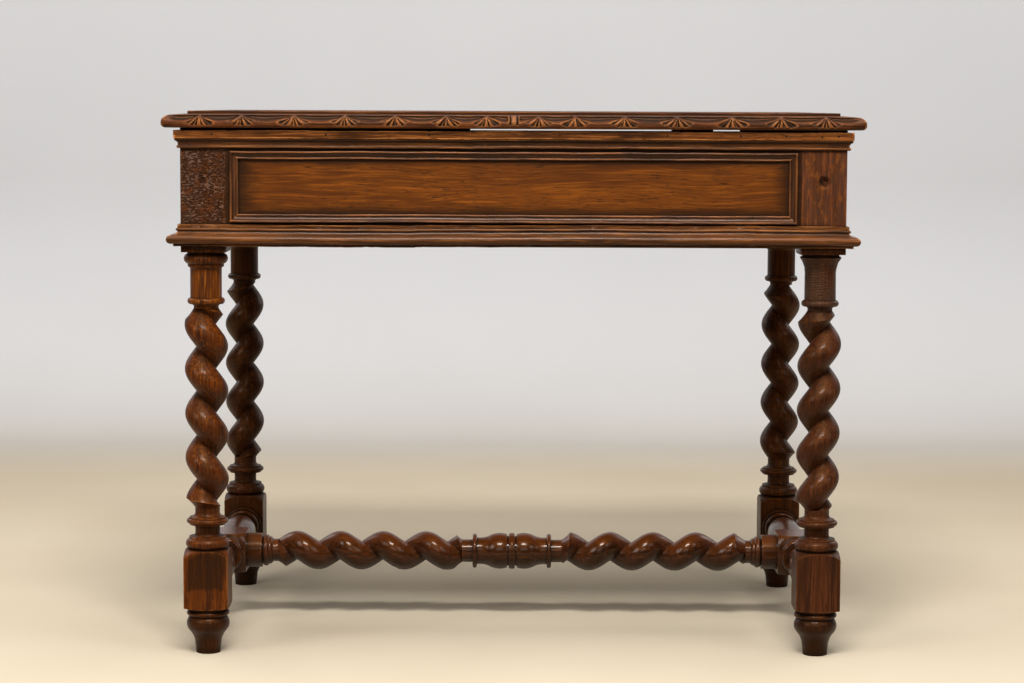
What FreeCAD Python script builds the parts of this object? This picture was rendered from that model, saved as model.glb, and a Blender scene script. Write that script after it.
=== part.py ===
"""Writing table: four barley-twist legs, an H stretcher, a panelled box frieze and a lift lid.

Millimetres. +Z is up, the floor is Z = 0, the origin is under the middle of the table and the
front of the table faces -Y.
"""
import FreeCAD
import Part
import Sketcher
import math
import os

UP = FreeCAD.Vector(0, 0, 1)

# Where the middle of a quarter round lies: along its first direction and across to its second
ALONG = math.sqrt(0.5)
ACROSS = 1 - ALONG

# Shares that shape the turnings
RING_EDGE = 0.3
CORNER_REACH = 0.72
SHOULDER_REACH = 0.44
SHOULDER_BOW = 0.62
SHOULDER_BOW_DROP = 0.45
TWIST_FULLNESS = 1.15
TWIST_SHOULDER_HOLLOW = 0.42

# Driving sizes: name, value, meaning
DRIVING_SIZES = [
    ("table_height", 773.0, "floor to the raised field of the lid"),
    ("leg_spacing_x", 870.0, "between leg axes, left to right"),
    ("leg_spacing_y", 528.0, "between leg axes, front to back"),
    ("post_width", 63.0, "square head of a leg"),
    ("post_drop", 9.0, "square head that shows below the base moulding"),
    ("frieze_height", 162.0, "bottom of the base moulding to the rim of the box"),
    ("lid_gap", 3.5, "rim of the box to the underside of the lid"),
    ("lid_thickness", 23.5, "boards of the lid"),
    ("lid_overhang", 24.5, "nose of the lid beyond the frieze"),
    ("seat_clearance", 0.3, "between pieces that rest or pass close"),
    ("joint_clearance", 0.1, "round a tenon in its mortise"),
    ("pin_clearance", 0.05, "round a pin or a peg in its hole"),
    ("foot_tip_radius", 17.2, "bottom of the foot"),
    ("foot_ankle_radius", 19.2, "top of the straight foot"),
    ("foot_ankle_height", 18.6, "straight foot"),
    ("foot_cove_radius", 27.0, "top of the hollow over the ankle"),
    ("foot_cove_height", 14.4, "hollow over the ankle"),
    ("foot_bulb_radius", 30.5, "bulb of the foot"),
    ("foot_bulb_height", 20.0, "bulb of the foot"),
    ("groove_radius", 26.3, "grooves beside the rings of a leg"),
    ("foot_ring_radius", 30.4, "ring between foot and block"),
    ("foot_ring_height", 7.0, "ring between foot and block"),
    ("foot_neck_height", 4.0, "recess under the block"),
    ("block_width", 62.5, "square block that takes the stretcher"),
    ("block_height", 85.5, "square block that takes the stretcher"),
    ("shoulder_above", 11.0, "rounded shoulder on top of a block"),
    ("shoulder_below", 3.5, "rounded shoulder under a leg block"),
    ("base_torus_radius", 31.0, "torus on the leg block"),
    ("base_torus_height", 15.0, "torus on the leg block"),
    ("base_fillet_height", 2.5, "fillet over the base torus"),
    ("neck_radius", 17.6, "necks of a leg"),
    ("base_neck_height", 17.0, "neck between torus and collar"),
    ("base_cove_radius", 23.5, "hollow at the foot of that neck"),
    ("base_cove_height", 5.0, "hollow at the foot of that neck"),
    ("collar_fillet", 2.0, "fillets over and under the collar"),
    ("collar_fillet_radius", 25.3, "fillets over and under the collar"),
    ("collar_radius", 29.6, "collar ring under the twist"),
    ("collar_height", 7.0, "collar ring under the twist"),
    ("collar_cove_radius", 22.5, "hollow at the foot of the neck under the twist"),
    ("collar_cove_height", 9.0, "hollow at the foot of the neck under the twist"),
    ("twist_neck_height", 14.0, "neck between collar and twist"),
    ("twist_crest", 30.7, "outside of the twist"),
    ("twist_valley", 12.3, "bottom of the groove of the twist"),
    ("twist_pitch", 63.3, "one turn of a leg's twist"),
    ("twist_lip", 14.0, "hollow shoulder at the bottom of a twist"),
    ("twist_run_out", 17.0, "hollow shoulder at the top of a twist"),
    ("front_left_crest", 234.0, "crest at the bottom of the front left twist, in degrees"),
    ("front_right_crest", 86.0, "crest at the bottom of the front right twist, in degrees"),
    ("rear_left_crest", 30.0, "crest at the bottom of the rear left twist, in degrees"),
    ("rear_right_crest", 342.0, "crest at the bottom of the rear right twist, in degrees"),
    ("core_radius", 9.0, "heart of the wood inside a twist"),
    ("top_neck_height", 3.0, "neck over the twist"),
    ("top_cove_height", 3.0, "hollow under the top ring"),
    ("top_ring_radius", 26.5, "ring under the column"),
    ("top_ring_height", 8.5, "ring under the column"),
    ("column_radius", 22.3, "plain column under the capital"),
    ("column_height", 40.9, "plain column under the capital"),
    ("capital_cove_height", 3.5, "hollow over the column"),
    ("capital_fillet_radius", 25.6, "fillet under the capital torus"),
    ("capital_fillet_height", 4.2, "fillet under the capital torus"),
    ("capital_torus_radius", 31.2, "torus of the capital"),
    ("capital_torus_height", 14.3, "torus of the capital"),
    ("capital_gap_height", 3.0, "recess between capital and square head"),
    ("stretcher_rise", 37.0, "bottom of the leg block to the axis of the stretchers"),
    ("stretcher_tenon_radius", 11.0, "round tenon of a stretcher"),
    ("stretcher_tenon_length", 22.0, "round tenon of a stretcher"),
    ("middle_block_width", 60.0, "square block in the middle of a side stretcher"),
    ("middle_block_length", 72.0, "square block in the middle of a side stretcher"),
    ("middle_shoulder", 13.0, "rounded shoulders of the middle block"),
    ("side_collar_radius", 27.0, "collar beside the middle block"),
    ("side_collar_length", 12.0, "collar beside the middle block"),
    ("side_neck_radius", 16.0, "neck beside the collar"),
    ("side_neck_length", 7.0, "neck beside the collar"),
    ("side_baluster_radius", 26.0, "swelling of a side stretcher"),
    ("side_waist_radius", 17.5, "thin end of the swelling, by the rings"),
    ("side_ring_radius", 25.5, "ring beside the flange"),
    ("side_ring_length", 8.0, "ring beside the flange"),
    ("side_step_length", 2.0, "step between swelling and ring"),
    ("side_groove_length", 1.6, "groove between ring and flange"),
    ("side_flange_radius", 29.0, "flange against the leg block"),
    ("side_flange_length", 9.0, "flange against the leg block"),
    ("centre_end_radius", 26.0, "drum at the end of the centre stretcher"),
    ("centre_end_length", 23.0, "drum at the end of the centre stretcher"),
    ("centre_groove_radius", 20.0, "groove beside the drum"),
    ("centre_groove_length", 1.6, "groove beside the drum"),
    ("centre_ring_radius", 24.2, "ring beside the drum"),
    ("centre_ring_length", 9.0, "ring beside the drum"),
    ("centre_step_radius", 21.0, "rounded step beside the ring"),
    ("centre_step_length", 6.0, "rounded step beside the ring"),
    ("centre_neck_radius", 17.3, "necks of the centre stretcher"),
    ("centre_neck_length", 14.0, "neck at the outer end of the twist"),
    ("centre_twist_crest", 29.5, "outside of the twist"),
    ("centre_twist_valley", 12.8, "bottom of the groove of the twist"),
    ("centre_twist_pitch", 65.8, "one turn of the centre stretcher's twist"),
    ("centre_left_crest", 14.5, "crest at the outer end of the left twist, in degrees"),
    ("centre_right_crest", 118.5, "crest at the outer end of the right twist, in degrees"),
    ("vase_neck_length", 16.0, "neck at the inner end of the twist"),
    ("vase_ring_radius", 26.3, "ring between neck and vase"),
    ("vase_ring_length", 6.5, "ring between neck and vase"),
    ("vase_foot_radius", 20.3, "thin end of the vase"),
    ("vase_length", 46.0, "vase beside the middle ring"),
    ("vase_radius", 27.4, "thick end of the vase"),
    ("middle_groove_radius", 23.0, "groove beside the middle ring"),
    ("middle_groove_length", 3.0, "groove beside the middle ring"),
    ("middle_ring_radius", 27.6, "ring in the middle of the centre stretcher"),
    ("middle_ring_half", 4.5, "half of the ring in the middle"),
    ("apron_thickness", 22.0, "boards of the frieze"),
    ("tenon_thickness", 8.0, "tenon of a frieze board"),
    ("tenon_gap", 9.0, "between the crossing tenons inside a post"),
    ("tenon_setback", 7.0, "outer face of the frieze to its tenon"),
    ("tenon_shoulder", 15.0, "frieze board above and below its tenon"),
    ("peg_radius", 4.7, "peg through post and tenon"),
    ("peg_length", 20.0, "peg through post and tenon"),
    ("peg_sink", 2.0, "outer end of a peg under the face of the post"),
    ("peg_rise", 8.5, "pegs over the middle of the frieze"),
    ("dip_depth", 4.4, "low stretches of the rear rim"),
    ("dip_start", -70.0, "left end of the low stretches"),
    ("dip_margin", 3.0, "full rim kept beside a hinge and a post"),
    ("cornice_reach", 8.5, "face of the cornice beyond the frieze"),
    ("cornice_fascia", 11.0, "flat face of the cornice"),
    ("cornice_quirk", 2.3, "step under the flat face"),
    ("cornice_bead", 3.4, "bead under the step"),
    ("cornice_bead_bulge", 1.2, "bead under the step"),
    ("cornice_cove", 6.2, "hollow of the cornice"),
    ("cornice_cove_depth", 3.4, "hollow of the cornice"),
    ("cornice_foot", 4.4, "bead at the bottom of the cornice"),
    ("cornice_foot_bulge", 1.7, "bead at the bottom of the cornice"),
    ("base_fillet_reach", 4.0, "top band of the base moulding"),
    ("base_fillet_band", 5.0, "top band of the base moulding"),
    ("base_bead", 4.0, "bead of the base moulding"),
    ("base_bead_bulge", 2.2, "bead of the base moulding"),
    ("base_cove", 5.5, "hollow of the base moulding"),
    ("base_cove_reach", 10.5, "foot of the hollow"),
    ("base_nose", 12.5, "round nose of the base moulding"),
    ("base_nose_reach", 18.5, "round nose of the base moulding"),
    ("base_foot", 3.5, "band under the nose"),
    ("base_foot_reach", 9.5, "band under the nose"),
    ("panel_inset_side", 6.5, "post to panel moulding"),
    ("panel_inset_up", 3.5, "cornice and base to panel moulding"),
    ("panel_moulding_width", 11.5, "moulding round a panel"),
    ("panel_moulding_bead", 3.2, "outer bead of the panel moulding"),
    ("panel_moulding_reach", 7.5, "outer bead beyond the frieze"),
    ("panel_moulding_lip", 3.0, "inner bead of the panel moulding"),
    ("panel_moulding_lip_reach", 4.0, "inner bead beyond the frieze"),
    ("panel_moulding_hollow", 3.0, "bottom of the hollow beyond the frieze"),
    ("bearer_width", 16.0, "strip under the bottom boards"),
    ("bearer_height", 16.0, "strip under the bottom boards"),
    ("bottom_thickness", 11.0, "bottom boards of the box"),
    ("bottom_drop", 30.0, "base of the frieze to the top of the bottom boards"),
    ("lid_edge_width", 34.0, "carved edge of the lid"),
    ("lid_edge_drop", 3.6, "step from the raised field to the edge"),
    ("lid_edge_fall", 1.6, "slope of the edge before its round"),
    ("lid_edge_round", 14.0, "round nose of the edge, from the front"),
    ("lid_nose_height", 3.0, "upright part of the nose"),
    ("lid_under_round", 3.0, "round under the nose"),
    ("batten_width", 36.0, "batten under the lid"),
    ("batten_thickness", 16.0, "batten under the lid"),
    ("batten_margin", 7.0, "post to batten"),
    ("batten_end", 58.0, "frieze board to the end of a batten"),
    ("hinge_inset", 145.0, "leg axis to the middle of a hinge"),
    ("hinge_length", 60.0, "along the pin"),
    ("hinge_leaf_width", 34.0, "pin to the edge of a leaf"),
    ("hinge_slack", 0.9, "between the closed leaves of a hinge"),
    ("hinge_knuckle_length", 20.0, "knuckle in the middle of a hinge"),
    ("hinge_pin_radius", 1.7, "pin of a hinge"),
]


class Size:
    """A length with the formula that ties it to the sheet."""

    def __init__(self, value, formula):
        self.value = value
        self.formula = formula

    def join(self, sign, other, value):
        return Size(value, "(" + self.formula + " " + sign + " " + other.formula + ")")

    def __add__(self, other):
        other = as_size(other)
        return self.join("+", other, self.value + other.value)

    def __sub__(self, other):
        other = as_size(other)
        return self.join("-", other, self.value - other.value)

    def __mul__(self, other):
        other = as_size(other)
        return self.join("*", other, self.value * other.value)

    def __truediv__(self, other):
        other = as_size(other)
        return self.join("/", other, self.value / other.value)

    def __neg__(self):
        return self * -1


def as_size(number):
    if isinstance(number, Size):
        return number
    return Size(float(number), str(float(number)))


class Sizes:
    """The driving sizes, each one under its own name."""


def write_sheet(doc):
    sheet = doc.addObject("Spreadsheet::Sheet", "Sizes")
    sizes = Sizes()
    for row, (name, value, meaning) in enumerate(DRIVING_SIZES, start=1):
        sheet.set("A%d" % row, name)
        sheet.set("B%d" % row, str(value))
        sheet.set("C%d" % row, meaning)
        sheet.setAlias("B%d" % row, name)
        setattr(sizes, name, Size(value, "Sizes." + name))
    doc.recompute()
    return sizes


doc = FreeCAD.newDocument("writing_table")
s = write_sheet(doc)
ZERO = as_size(0)

# Levels and faces that several pieces share
LID_UNDERSIDE = s.table_height - s.lid_thickness
RIM = LID_UNDERSIDE - s.lid_gap
FRIEZE_BOTTOM = RIM - s.frieze_height
POST_BOTTOM = FRIEZE_BOTTOM - s.post_drop
POST_TOP = LID_UNDERSIDE - s.seat_clearance
CORNICE_BOTTOM = RIM - s.cornice_fascia - s.cornice_bead - s.cornice_cove - s.cornice_foot
BASE_TOP = FRIEZE_BOTTOM + s.base_fillet_band + s.base_bead + s.base_cove + s.base_nose + s.base_foot
PEG_HEIGHT = (CORNICE_BOTTOM + BASE_TOP) / 2 + s.peg_rise
POST_HALF = s.post_width / 2
LEG_X = s.leg_spacing_x / 2
LEG_Y = s.leg_spacing_y / 2
FRIEZE_X = LEG_X + POST_HALF
FRIEZE_Y = LEG_Y + POST_HALF
HINGE_Y = FRIEZE_Y + s.cornice_reach + s.lid_gap
HINGE_X = LEG_X - s.hinge_inset
KNUCKLE_RADIUS = s.lid_gap - s.seat_clearance
HINGE_LEAF = (s.lid_gap - s.hinge_slack) / 2
TENON_LENGTH = s.post_width - s.tenon_setback - s.tenon_thickness - s.tenon_gap


class Side:
    """One side of the box: the turn from the front, its face and the clear span between its posts."""

    def __init__(self, name, angle, face, half_face, half_span):
        self.name = name
        self.angle = angle
        self.face = face
        self.half_face = half_face
        self.half_span = half_span
        self.along = (round(math.cos(math.radians(angle))), round(math.sin(math.radians(angle))))
        self.out = (self.along[1], -self.along[0])


SIDES = [
    Side("front", 0, FRIEZE_Y, FRIEZE_X, LEG_X - POST_HALF),
    Side("right", 90, FRIEZE_X, FRIEZE_Y, LEG_Y - POST_HALF),
    Side("rear", 180, FRIEZE_Y, FRIEZE_X, LEG_X - POST_HALF),
    Side("left", 270, FRIEZE_X, FRIEZE_Y, LEG_Y - POST_HALF),
]


def bind(thing, path, size):
    thing.setExpression(path, size.formula)


def vector(x, y, z=ZERO):
    return FreeCAD.Vector(x.value, y.value, z.value)


def place(thing, x, y, z, rotation=FreeCAD.Rotation()):
    thing.Placement = FreeCAD.Placement(vector(x, y, z), rotation)
    bind(thing, "Placement.Base.x", x)
    bind(thing, "Placement.Base.y", y)
    bind(thing, "Placement.Base.z", z)


def place_on_side(thing, side, along, out, height, roll=0):
    x = along * side.along[0] + out * side.out[0]
    y = along * side.along[1] + out * side.out[1]
    turn = FreeCAD.Rotation(UP, side.angle)
    place(thing, x, y, height, turn * FreeCAD.Rotation(FreeCAD.Vector(0, 1, 0), roll))


def new_body(name):
    body = doc.addObject("PartDesign::Body", name)
    body.Label = name
    return body


def origin_plane(body, role):
    return next(plane for plane in body.Origin.OriginFeatures if plane.Role == role)


def new_sketch(body, role, lift=None):
    sketch = body.newObject("Sketcher::SketchObject", body.Name + "_sketch")
    sketch.AttachmentSupport = [(origin_plane(body, role), "")]
    sketch.MapMode = "FlatFace"
    if lift is not None:
        bind(sketch, "AttachmentOffset.Base.z", lift)
    return sketch


def pin_point(sketch, piece, end, x, y):
    """Hold one point of a sketch at x, y."""
    for kind, axis, size in (("DistanceX", -2, x), ("DistanceY", -1, y)):
        if size is ZERO:
            sketch.addConstraint(Sketcher.Constraint("PointOnObject", piece, end, axis))
        else:
            rule = Sketcher.Constraint(kind, -1, 1, piece, end, size.value)
            bind(sketch, "Constraints[%d]" % sketch.addConstraint(rule), size)


def draw(sketch, start, steps):
    """Draw a closed outline. A step is an end point, or a point on an arc and the arc's end point."""
    here = start
    first = sketch.GeometryCount
    ends = []
    arcs = []
    for step in steps + [start]:
        there = step[-2:]
        piece = first + len(ends)
        if len(step) == 2:
            sketch.addGeometry(Part.LineSegment(vector(*here), vector(*there)), False)
            ends.append((piece, 1, 2, there))
        else:
            middle = step[:2]
            first_leg = vector(*middle) - vector(*here)
            second_leg = vector(*there) - vector(*middle)
            counter_clockwise = first_leg.cross(second_leg).z > 0
            sketch.addGeometry(Part.Arc(vector(*here), vector(*middle), vector(*there)), False)
            ends.append((piece, 1, 2, there) if counter_clockwise else (piece, 2, 1, there))
            arcs.append((piece, middle))
        here = there
    for index, (piece, begin, end, there) in enumerate(ends):
        follower, follower_begin = ends[(index + 1) % len(ends)][:2]
        sketch.addConstraint(Sketcher.Constraint("Coincident", piece, end, follower, follower_begin))
        pin_point(sketch, piece, end, *there)
    for piece, middle in arcs:
        mark = sketch.addGeometry(Part.Point(vector(*middle)), True)
        sketch.addConstraint(Sketcher.Constraint("PointOnObject", mark, 1, piece))
        pin_point(sketch, mark, 1, *middle)


def draw_rectangle(sketch, left, right, bottom, top):
    draw(sketch, (left, bottom), [(right, bottom), (right, top), (left, top)])


def draw_circle(sketch, x, y, radius):
    circle = sketch.addGeometry(Part.Circle(vector(x, y), UP, radius.value), False)
    pin_point(sketch, circle, 3, x, y)
    rule = Sketcher.Constraint("Radius", circle, radius.value)
    bind(sketch, "Constraints[%d]" % sketch.addConstraint(rule), radius)


def pad(body, sketch, length, symmetric=False, backwards=False):
    feature = body.newObject("PartDesign::Pad", body.Name + "_pad")
    feature.Profile = sketch
    feature.SideType = "Symmetric" if symmetric else "One side"
    feature.Reversed = backwards
    bind(feature, "Length", length)
    return feature


def revolve(body, sketch, axis, kind="PartDesign::Revolution"):
    feature = body.newObject(kind, body.Name + "_turning")
    feature.Profile = sketch
    feature.ReferenceAxis = (sketch, [axis])
    feature.Angle = 360
    return feature


def pocket(body, sketch, length, symmetric=False, backwards=False):
    """Cut a pocket and make sure that it takes wood away."""
    doc.recompute()
    before = body.Shape.Volume
    feature = body.newObject("PartDesign::Pocket", body.Name + "_pocket")
    feature.Profile = sketch
    feature.SideType = "Symmetric" if symmetric else "One side"
    feature.Reversed = backwards
    bind(feature, "Length", length)
    doc.recompute()
    if body.Shape.Volume >= before:
        raise RuntimeError(body.Label + ": a pocket cut nothing")
    return feature


def join(name, pieces):
    whole = doc.addObject("Part::MultiFuse", name)
    whole.Label = name
    whole.Shapes = pieces
    return whole


def mirror(name, source, normal):
    copy = doc.addObject("Part::Mirroring", name)
    copy.Label = name
    copy.Source = source
    copy.Normal = normal
    return copy


def twist_section(crest, valley, points=33):
    """Section of a single-strand twist: a round back and a sharp groove opposite."""
    outline = []
    for index in range(points):
        angle = math.pi * (2 * index / (points - 1) - 1)
        reach = valley + (crest - valley) * math.cos(angle / 2) ** TWIST_FULLNESS
        outline.append(FreeCAD.Vector(reach * math.cos(angle), reach * math.sin(angle), 0))
    curve = Part.BSplineCurve()
    curve.interpolate(outline)
    return Part.Wire([curve.toShape()])


def twist_strand(name, length, pitch, crest, valley, start_angle, left_handed):
    """Twist the section round a straight spine along +Z. The crest is at start_angle where z = 0."""
    spare = s.twist_run_out.value
    whole = length.value + spare * 2
    spine = Part.Wire([Part.makeLine((0, 0, 0), (0, 0, whole))])
    guide = Part.Wire(Part.makeHelix(pitch.value, whole, crest.value, 0, left_handed))
    shell = Part.BRepOffsetAPI.MakePipeShell(spine)
    shell.setAuxiliarySpine(guide, True, 0)
    shell.add(twist_section(crest.value, valley.value))
    shell.build()
    shell.makeSolid()
    strand = shell.shape()
    spare_turn = 360 * spare / pitch.value
    first_angle = start_angle.value + (spare_turn if left_handed else -spare_turn)
    strand.rotate(FreeCAD.Vector(0, 0, 0), UP, first_angle)
    strand.translate(FreeCAD.Vector(0, 0, -spare))
    feature = doc.addObject("Part::Feature", name)
    feature.Shape = strand
    return feature


def twist(name, length, pitch, crest, valley, neck, start_angle, left_handed, first_lip, last_lip):
    """A strand trimmed by the turned shoulders at its two ends."""
    strand = twist_strand(name + "_strand", length, pitch, crest, valley, start_angle, left_handed)
    envelope = new_body(name + "_envelope")
    sketch = new_sketch(envelope, "XZ_Plane")
    outside = crest + s.seat_clearance
    hollow = neck + (outside - neck) * TWIST_SHOULDER_HOLLOW
    draw(sketch, (ZERO, ZERO), [
        (neck, ZERO),
        (hollow, first_lip / 2, outside, first_lip),
        (outside, length - last_lip),
        (hollow, length - last_lip / 2, neck, length),
        (ZERO, length),
    ])
    revolve(envelope, sketch, "V_Axis")
    trimmed = doc.addObject("Part::Common", name)
    trimmed.Base = strand
    trimmed.Tool = envelope
    return trimmed


# Heights of a leg's turned members, from the floor up and from the square head down
ANKLE = s.foot_ankle_height
BULB = ANKLE + s.foot_cove_height
FOOT_RING = BULB + s.foot_bulb_height + s.collar_fillet / 2
FOOT_NECK = FOOT_RING + s.foot_ring_height
BLOCK_BOTTOM = FOOT_NECK + s.foot_neck_height
BLOCK_TOP = BLOCK_BOTTOM + s.block_height
STRETCHER_HEIGHT = BLOCK_BOTTOM + s.stretcher_rise
BASE_TORUS_TOP = BLOCK_TOP + s.base_torus_height
BASE_NECK = BASE_TORUS_TOP + s.base_fillet_height
COLLAR_FOOT = BASE_NECK + s.base_neck_height
COLLAR = COLLAR_FOOT + s.collar_fillet
COLLAR_TOP = COLLAR + s.collar_height
TWIST_NECK = COLLAR_TOP + s.collar_fillet
TWIST_BOTTOM = TWIST_NECK + s.twist_neck_height
CAPITAL_TOP = POST_BOTTOM - s.capital_gap_height
CAPITAL_BOTTOM = CAPITAL_TOP - s.capital_torus_height
CAPITAL_FILLET = CAPITAL_BOTTOM - s.capital_fillet_height
COLUMN_TOP = CAPITAL_FILLET - s.capital_cove_height
COLUMN_BOTTOM = COLUMN_TOP - s.column_height
TOP_RING = COLUMN_BOTTOM - s.top_ring_height
TOP_NECK = TOP_RING - s.top_cove_height
TWIST_TOP = TOP_NECK - s.top_neck_height
TWIST_LENGTH = TWIST_TOP - TWIST_BOTTOM


def turn_leg(body):
    """Turned members of a leg, with only the heart of the wood where the twist goes."""
    sketch = new_sketch(body, "XZ_Plane")
    groove = s.groove_radius
    neck = s.neck_radius
    top_ring_side = s.top_ring_radius - s.top_ring_height * RING_EDGE
    foot_flare = s.foot_cove_radius - s.foot_ankle_radius
    capital_flare = s.capital_fillet_radius - s.column_radius
    base_flare = s.base_cove_radius - neck
    collar_flare = s.collar_cove_radius - neck
    foot_hollow_reach = 0.38
    foot_hollow_rise = 0.53
    bulb_middle = 0.55
    draw(sketch, (ZERO, ZERO), [
        (s.foot_tip_radius, ZERO),
        (s.foot_ankle_radius, ANKLE),
        (s.foot_ankle_radius + foot_flare * foot_hollow_reach, ANKLE + s.foot_cove_height * foot_hollow_rise,
         s.foot_cove_radius, BULB),
        (s.foot_bulb_radius, BULB + s.foot_bulb_height * bulb_middle, groove, BULB + s.foot_bulb_height),
        (groove, FOOT_RING),
        (s.foot_ring_radius, FOOT_RING + s.foot_ring_height / 2, groove, FOOT_NECK),
        (groove, BLOCK_TOP),
        (s.base_torus_radius, BLOCK_TOP + s.base_torus_height / 2, groove, BASE_TORUS_TOP),
        (groove, BASE_NECK),
        (s.base_cove_radius, BASE_NECK),
        (neck + base_flare * ACROSS, BASE_NECK + s.base_cove_height * ACROSS,
         neck, BASE_NECK + s.base_cove_height),
        (neck, COLLAR_FOOT),
        (s.collar_fillet_radius, COLLAR_FOOT),
        (s.collar_fillet_radius, COLLAR),
        (s.collar_radius, COLLAR + s.collar_height / 2, s.collar_fillet_radius, COLLAR_TOP),
        (s.collar_fillet_radius, TWIST_NECK),
        (s.collar_cove_radius, TWIST_NECK),
        (neck + collar_flare * ACROSS, TWIST_NECK + s.collar_cove_height * ACROSS,
         neck, TWIST_NECK + s.collar_cove_height),
        (neck, TWIST_BOTTOM),
        (s.core_radius, TWIST_BOTTOM),
        (s.core_radius, TWIST_TOP),
        (neck, TWIST_TOP),
        (neck, TOP_NECK),
        (neck + (top_ring_side - neck) * ACROSS, TOP_NECK + s.top_cove_height * ALONG,
         top_ring_side, TOP_RING),
        (s.top_ring_radius, TOP_RING + s.top_ring_height / 2, top_ring_side, COLUMN_BOTTOM),
        (s.column_radius, COLUMN_BOTTOM),
        (s.column_radius, COLUMN_TOP),
        (s.column_radius + capital_flare * ACROSS, COLUMN_TOP + s.capital_cove_height * ALONG,
         s.capital_fillet_radius, CAPITAL_FILLET),
        (s.capital_fillet_radius, CAPITAL_BOTTOM),
        (s.capital_torus_radius, CAPITAL_BOTTOM + s.capital_torus_height / 2, groove, CAPITAL_TOP),
        (groove, POST_BOTTOM),
        (ZERO, POST_BOTTOM),
    ])
    revolve(body, sketch, "V_Axis")


def pad_square(body, width, bottom, top):
    sketch = new_sketch(body, "XY_Plane", bottom)
    draw_rectangle(sketch, -width / 2, width / 2, -width / 2, width / 2)
    pad(body, sketch, top - bottom)


def turn_shoulders(body, axis, width, low, high, below, above):
    """Round the two ends of a square block on the lathe, between low and high along the axis."""
    corner = width * CORNER_REACH
    flat = width * SHOULDER_REACH
    bow = width * SHOULDER_BOW
    sketch = new_sketch(body, "XZ_Plane")

    def point(radius, station):
        return (radius, station) if axis == "V_Axis" else (station, radius)

    draw(sketch, point(corner, high - above), [
        point(bow, high - above * SHOULDER_BOW_DROP) + point(flat, high),
        point(flat, high + s.seat_clearance),
        point(corner, high + s.seat_clearance),
    ])
    draw(sketch, point(corner, low + below), [
        point(bow, low + below * SHOULDER_BOW_DROP) + point(flat, low),
        point(flat, low - s.seat_clearance),
        point(corner, low - s.seat_clearance),
    ])
    revolve(body, sketch, axis, "PartDesign::Groove")


def cut_leg_joints(body):
    """Mortises and peg holes for two frieze boards, and the socket for the side stretcher."""
    near = -POST_HALF + s.tenon_setback - s.joint_clearance
    far = near + s.tenon_thickness + s.joint_clearance * 2
    bottom = FRIEZE_BOTTOM + s.tenon_shoulder - s.joint_clearance
    top = RIM - s.tenon_shoulder + s.joint_clearance
    mortise_end = POST_HALF - TENON_LENGTH - s.seat_clearance
    hole_radius = s.peg_radius + s.pin_clearance
    hole_depth = s.peg_sink + s.peg_length
    for role, side, backwards in (("YZ_Plane", 1, True), ("XZ_Plane", -1, False)):
        mortise = new_sketch(body, role, mortise_end * side)
        draw_rectangle(mortise, near, far, bottom, top)
        pocket(body, mortise, s.post_width, backwards=backwards)
        hole = new_sketch(body, role, -POST_HALF * side)
        draw_circle(hole, ZERO, PEG_HEIGHT, hole_radius)
        pocket(body, hole, hole_depth, backwards=backwards)
    socket = new_sketch(body, "XZ_Plane", s.stretcher_tenon_length + s.seat_clearance - s.block_width / 2)
    draw_circle(socket, ZERO, STRETCHER_HEIGHT, s.stretcher_tenon_radius + s.joint_clearance)
    pocket(body, socket, s.block_width)


def make_legs():
    """Four legs, each from one length of oak. Neighbouring twists turn opposite ways."""
    body = new_body("leg_turning")
    turn_leg(body)
    pad_square(body, s.block_width, BLOCK_BOTTOM, BLOCK_TOP)
    turn_shoulders(body, "V_Axis", s.block_width, BLOCK_BOTTOM, BLOCK_TOP, s.shoulder_below, s.shoulder_above)
    pad_square(body, s.post_width, POST_BOTTOM, POST_TOP)
    cut_leg_joints(body)
    front_right = mirror("front_right_turning", body, FreeCAD.Vector(1, 0, 0))
    rear_left = mirror("rear_left_turning", body, FreeCAD.Vector(0, 1, 0))
    rear_right = mirror("rear_right_turning", rear_left, FreeCAD.Vector(1, 0, 0))
    legs = []
    for name, turning, x, y, crest, left_handed in (
            ("front_left", body, -LEG_X, -LEG_Y, s.front_left_crest, True),
            ("front_right", front_right, LEG_X, -LEG_Y, s.front_right_crest, False),
            ("rear_left", rear_left, -LEG_X, LEG_Y, s.rear_left_crest, False),
            ("rear_right", rear_right, LEG_X, LEG_Y, s.rear_right_crest, True)):
        strand = twist(name + "_twist", TWIST_LENGTH, s.twist_pitch, s.twist_crest, s.twist_valley,
                       s.neck_radius, crest, left_handed, s.twist_lip, s.twist_run_out)
        place(strand, ZERO, ZERO, TWIST_BOTTOM)
        leg = join(name + "_leg", [turning, strand])
        place(leg, x, y, ZERO)
        legs.append(leg)
    return legs


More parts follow.
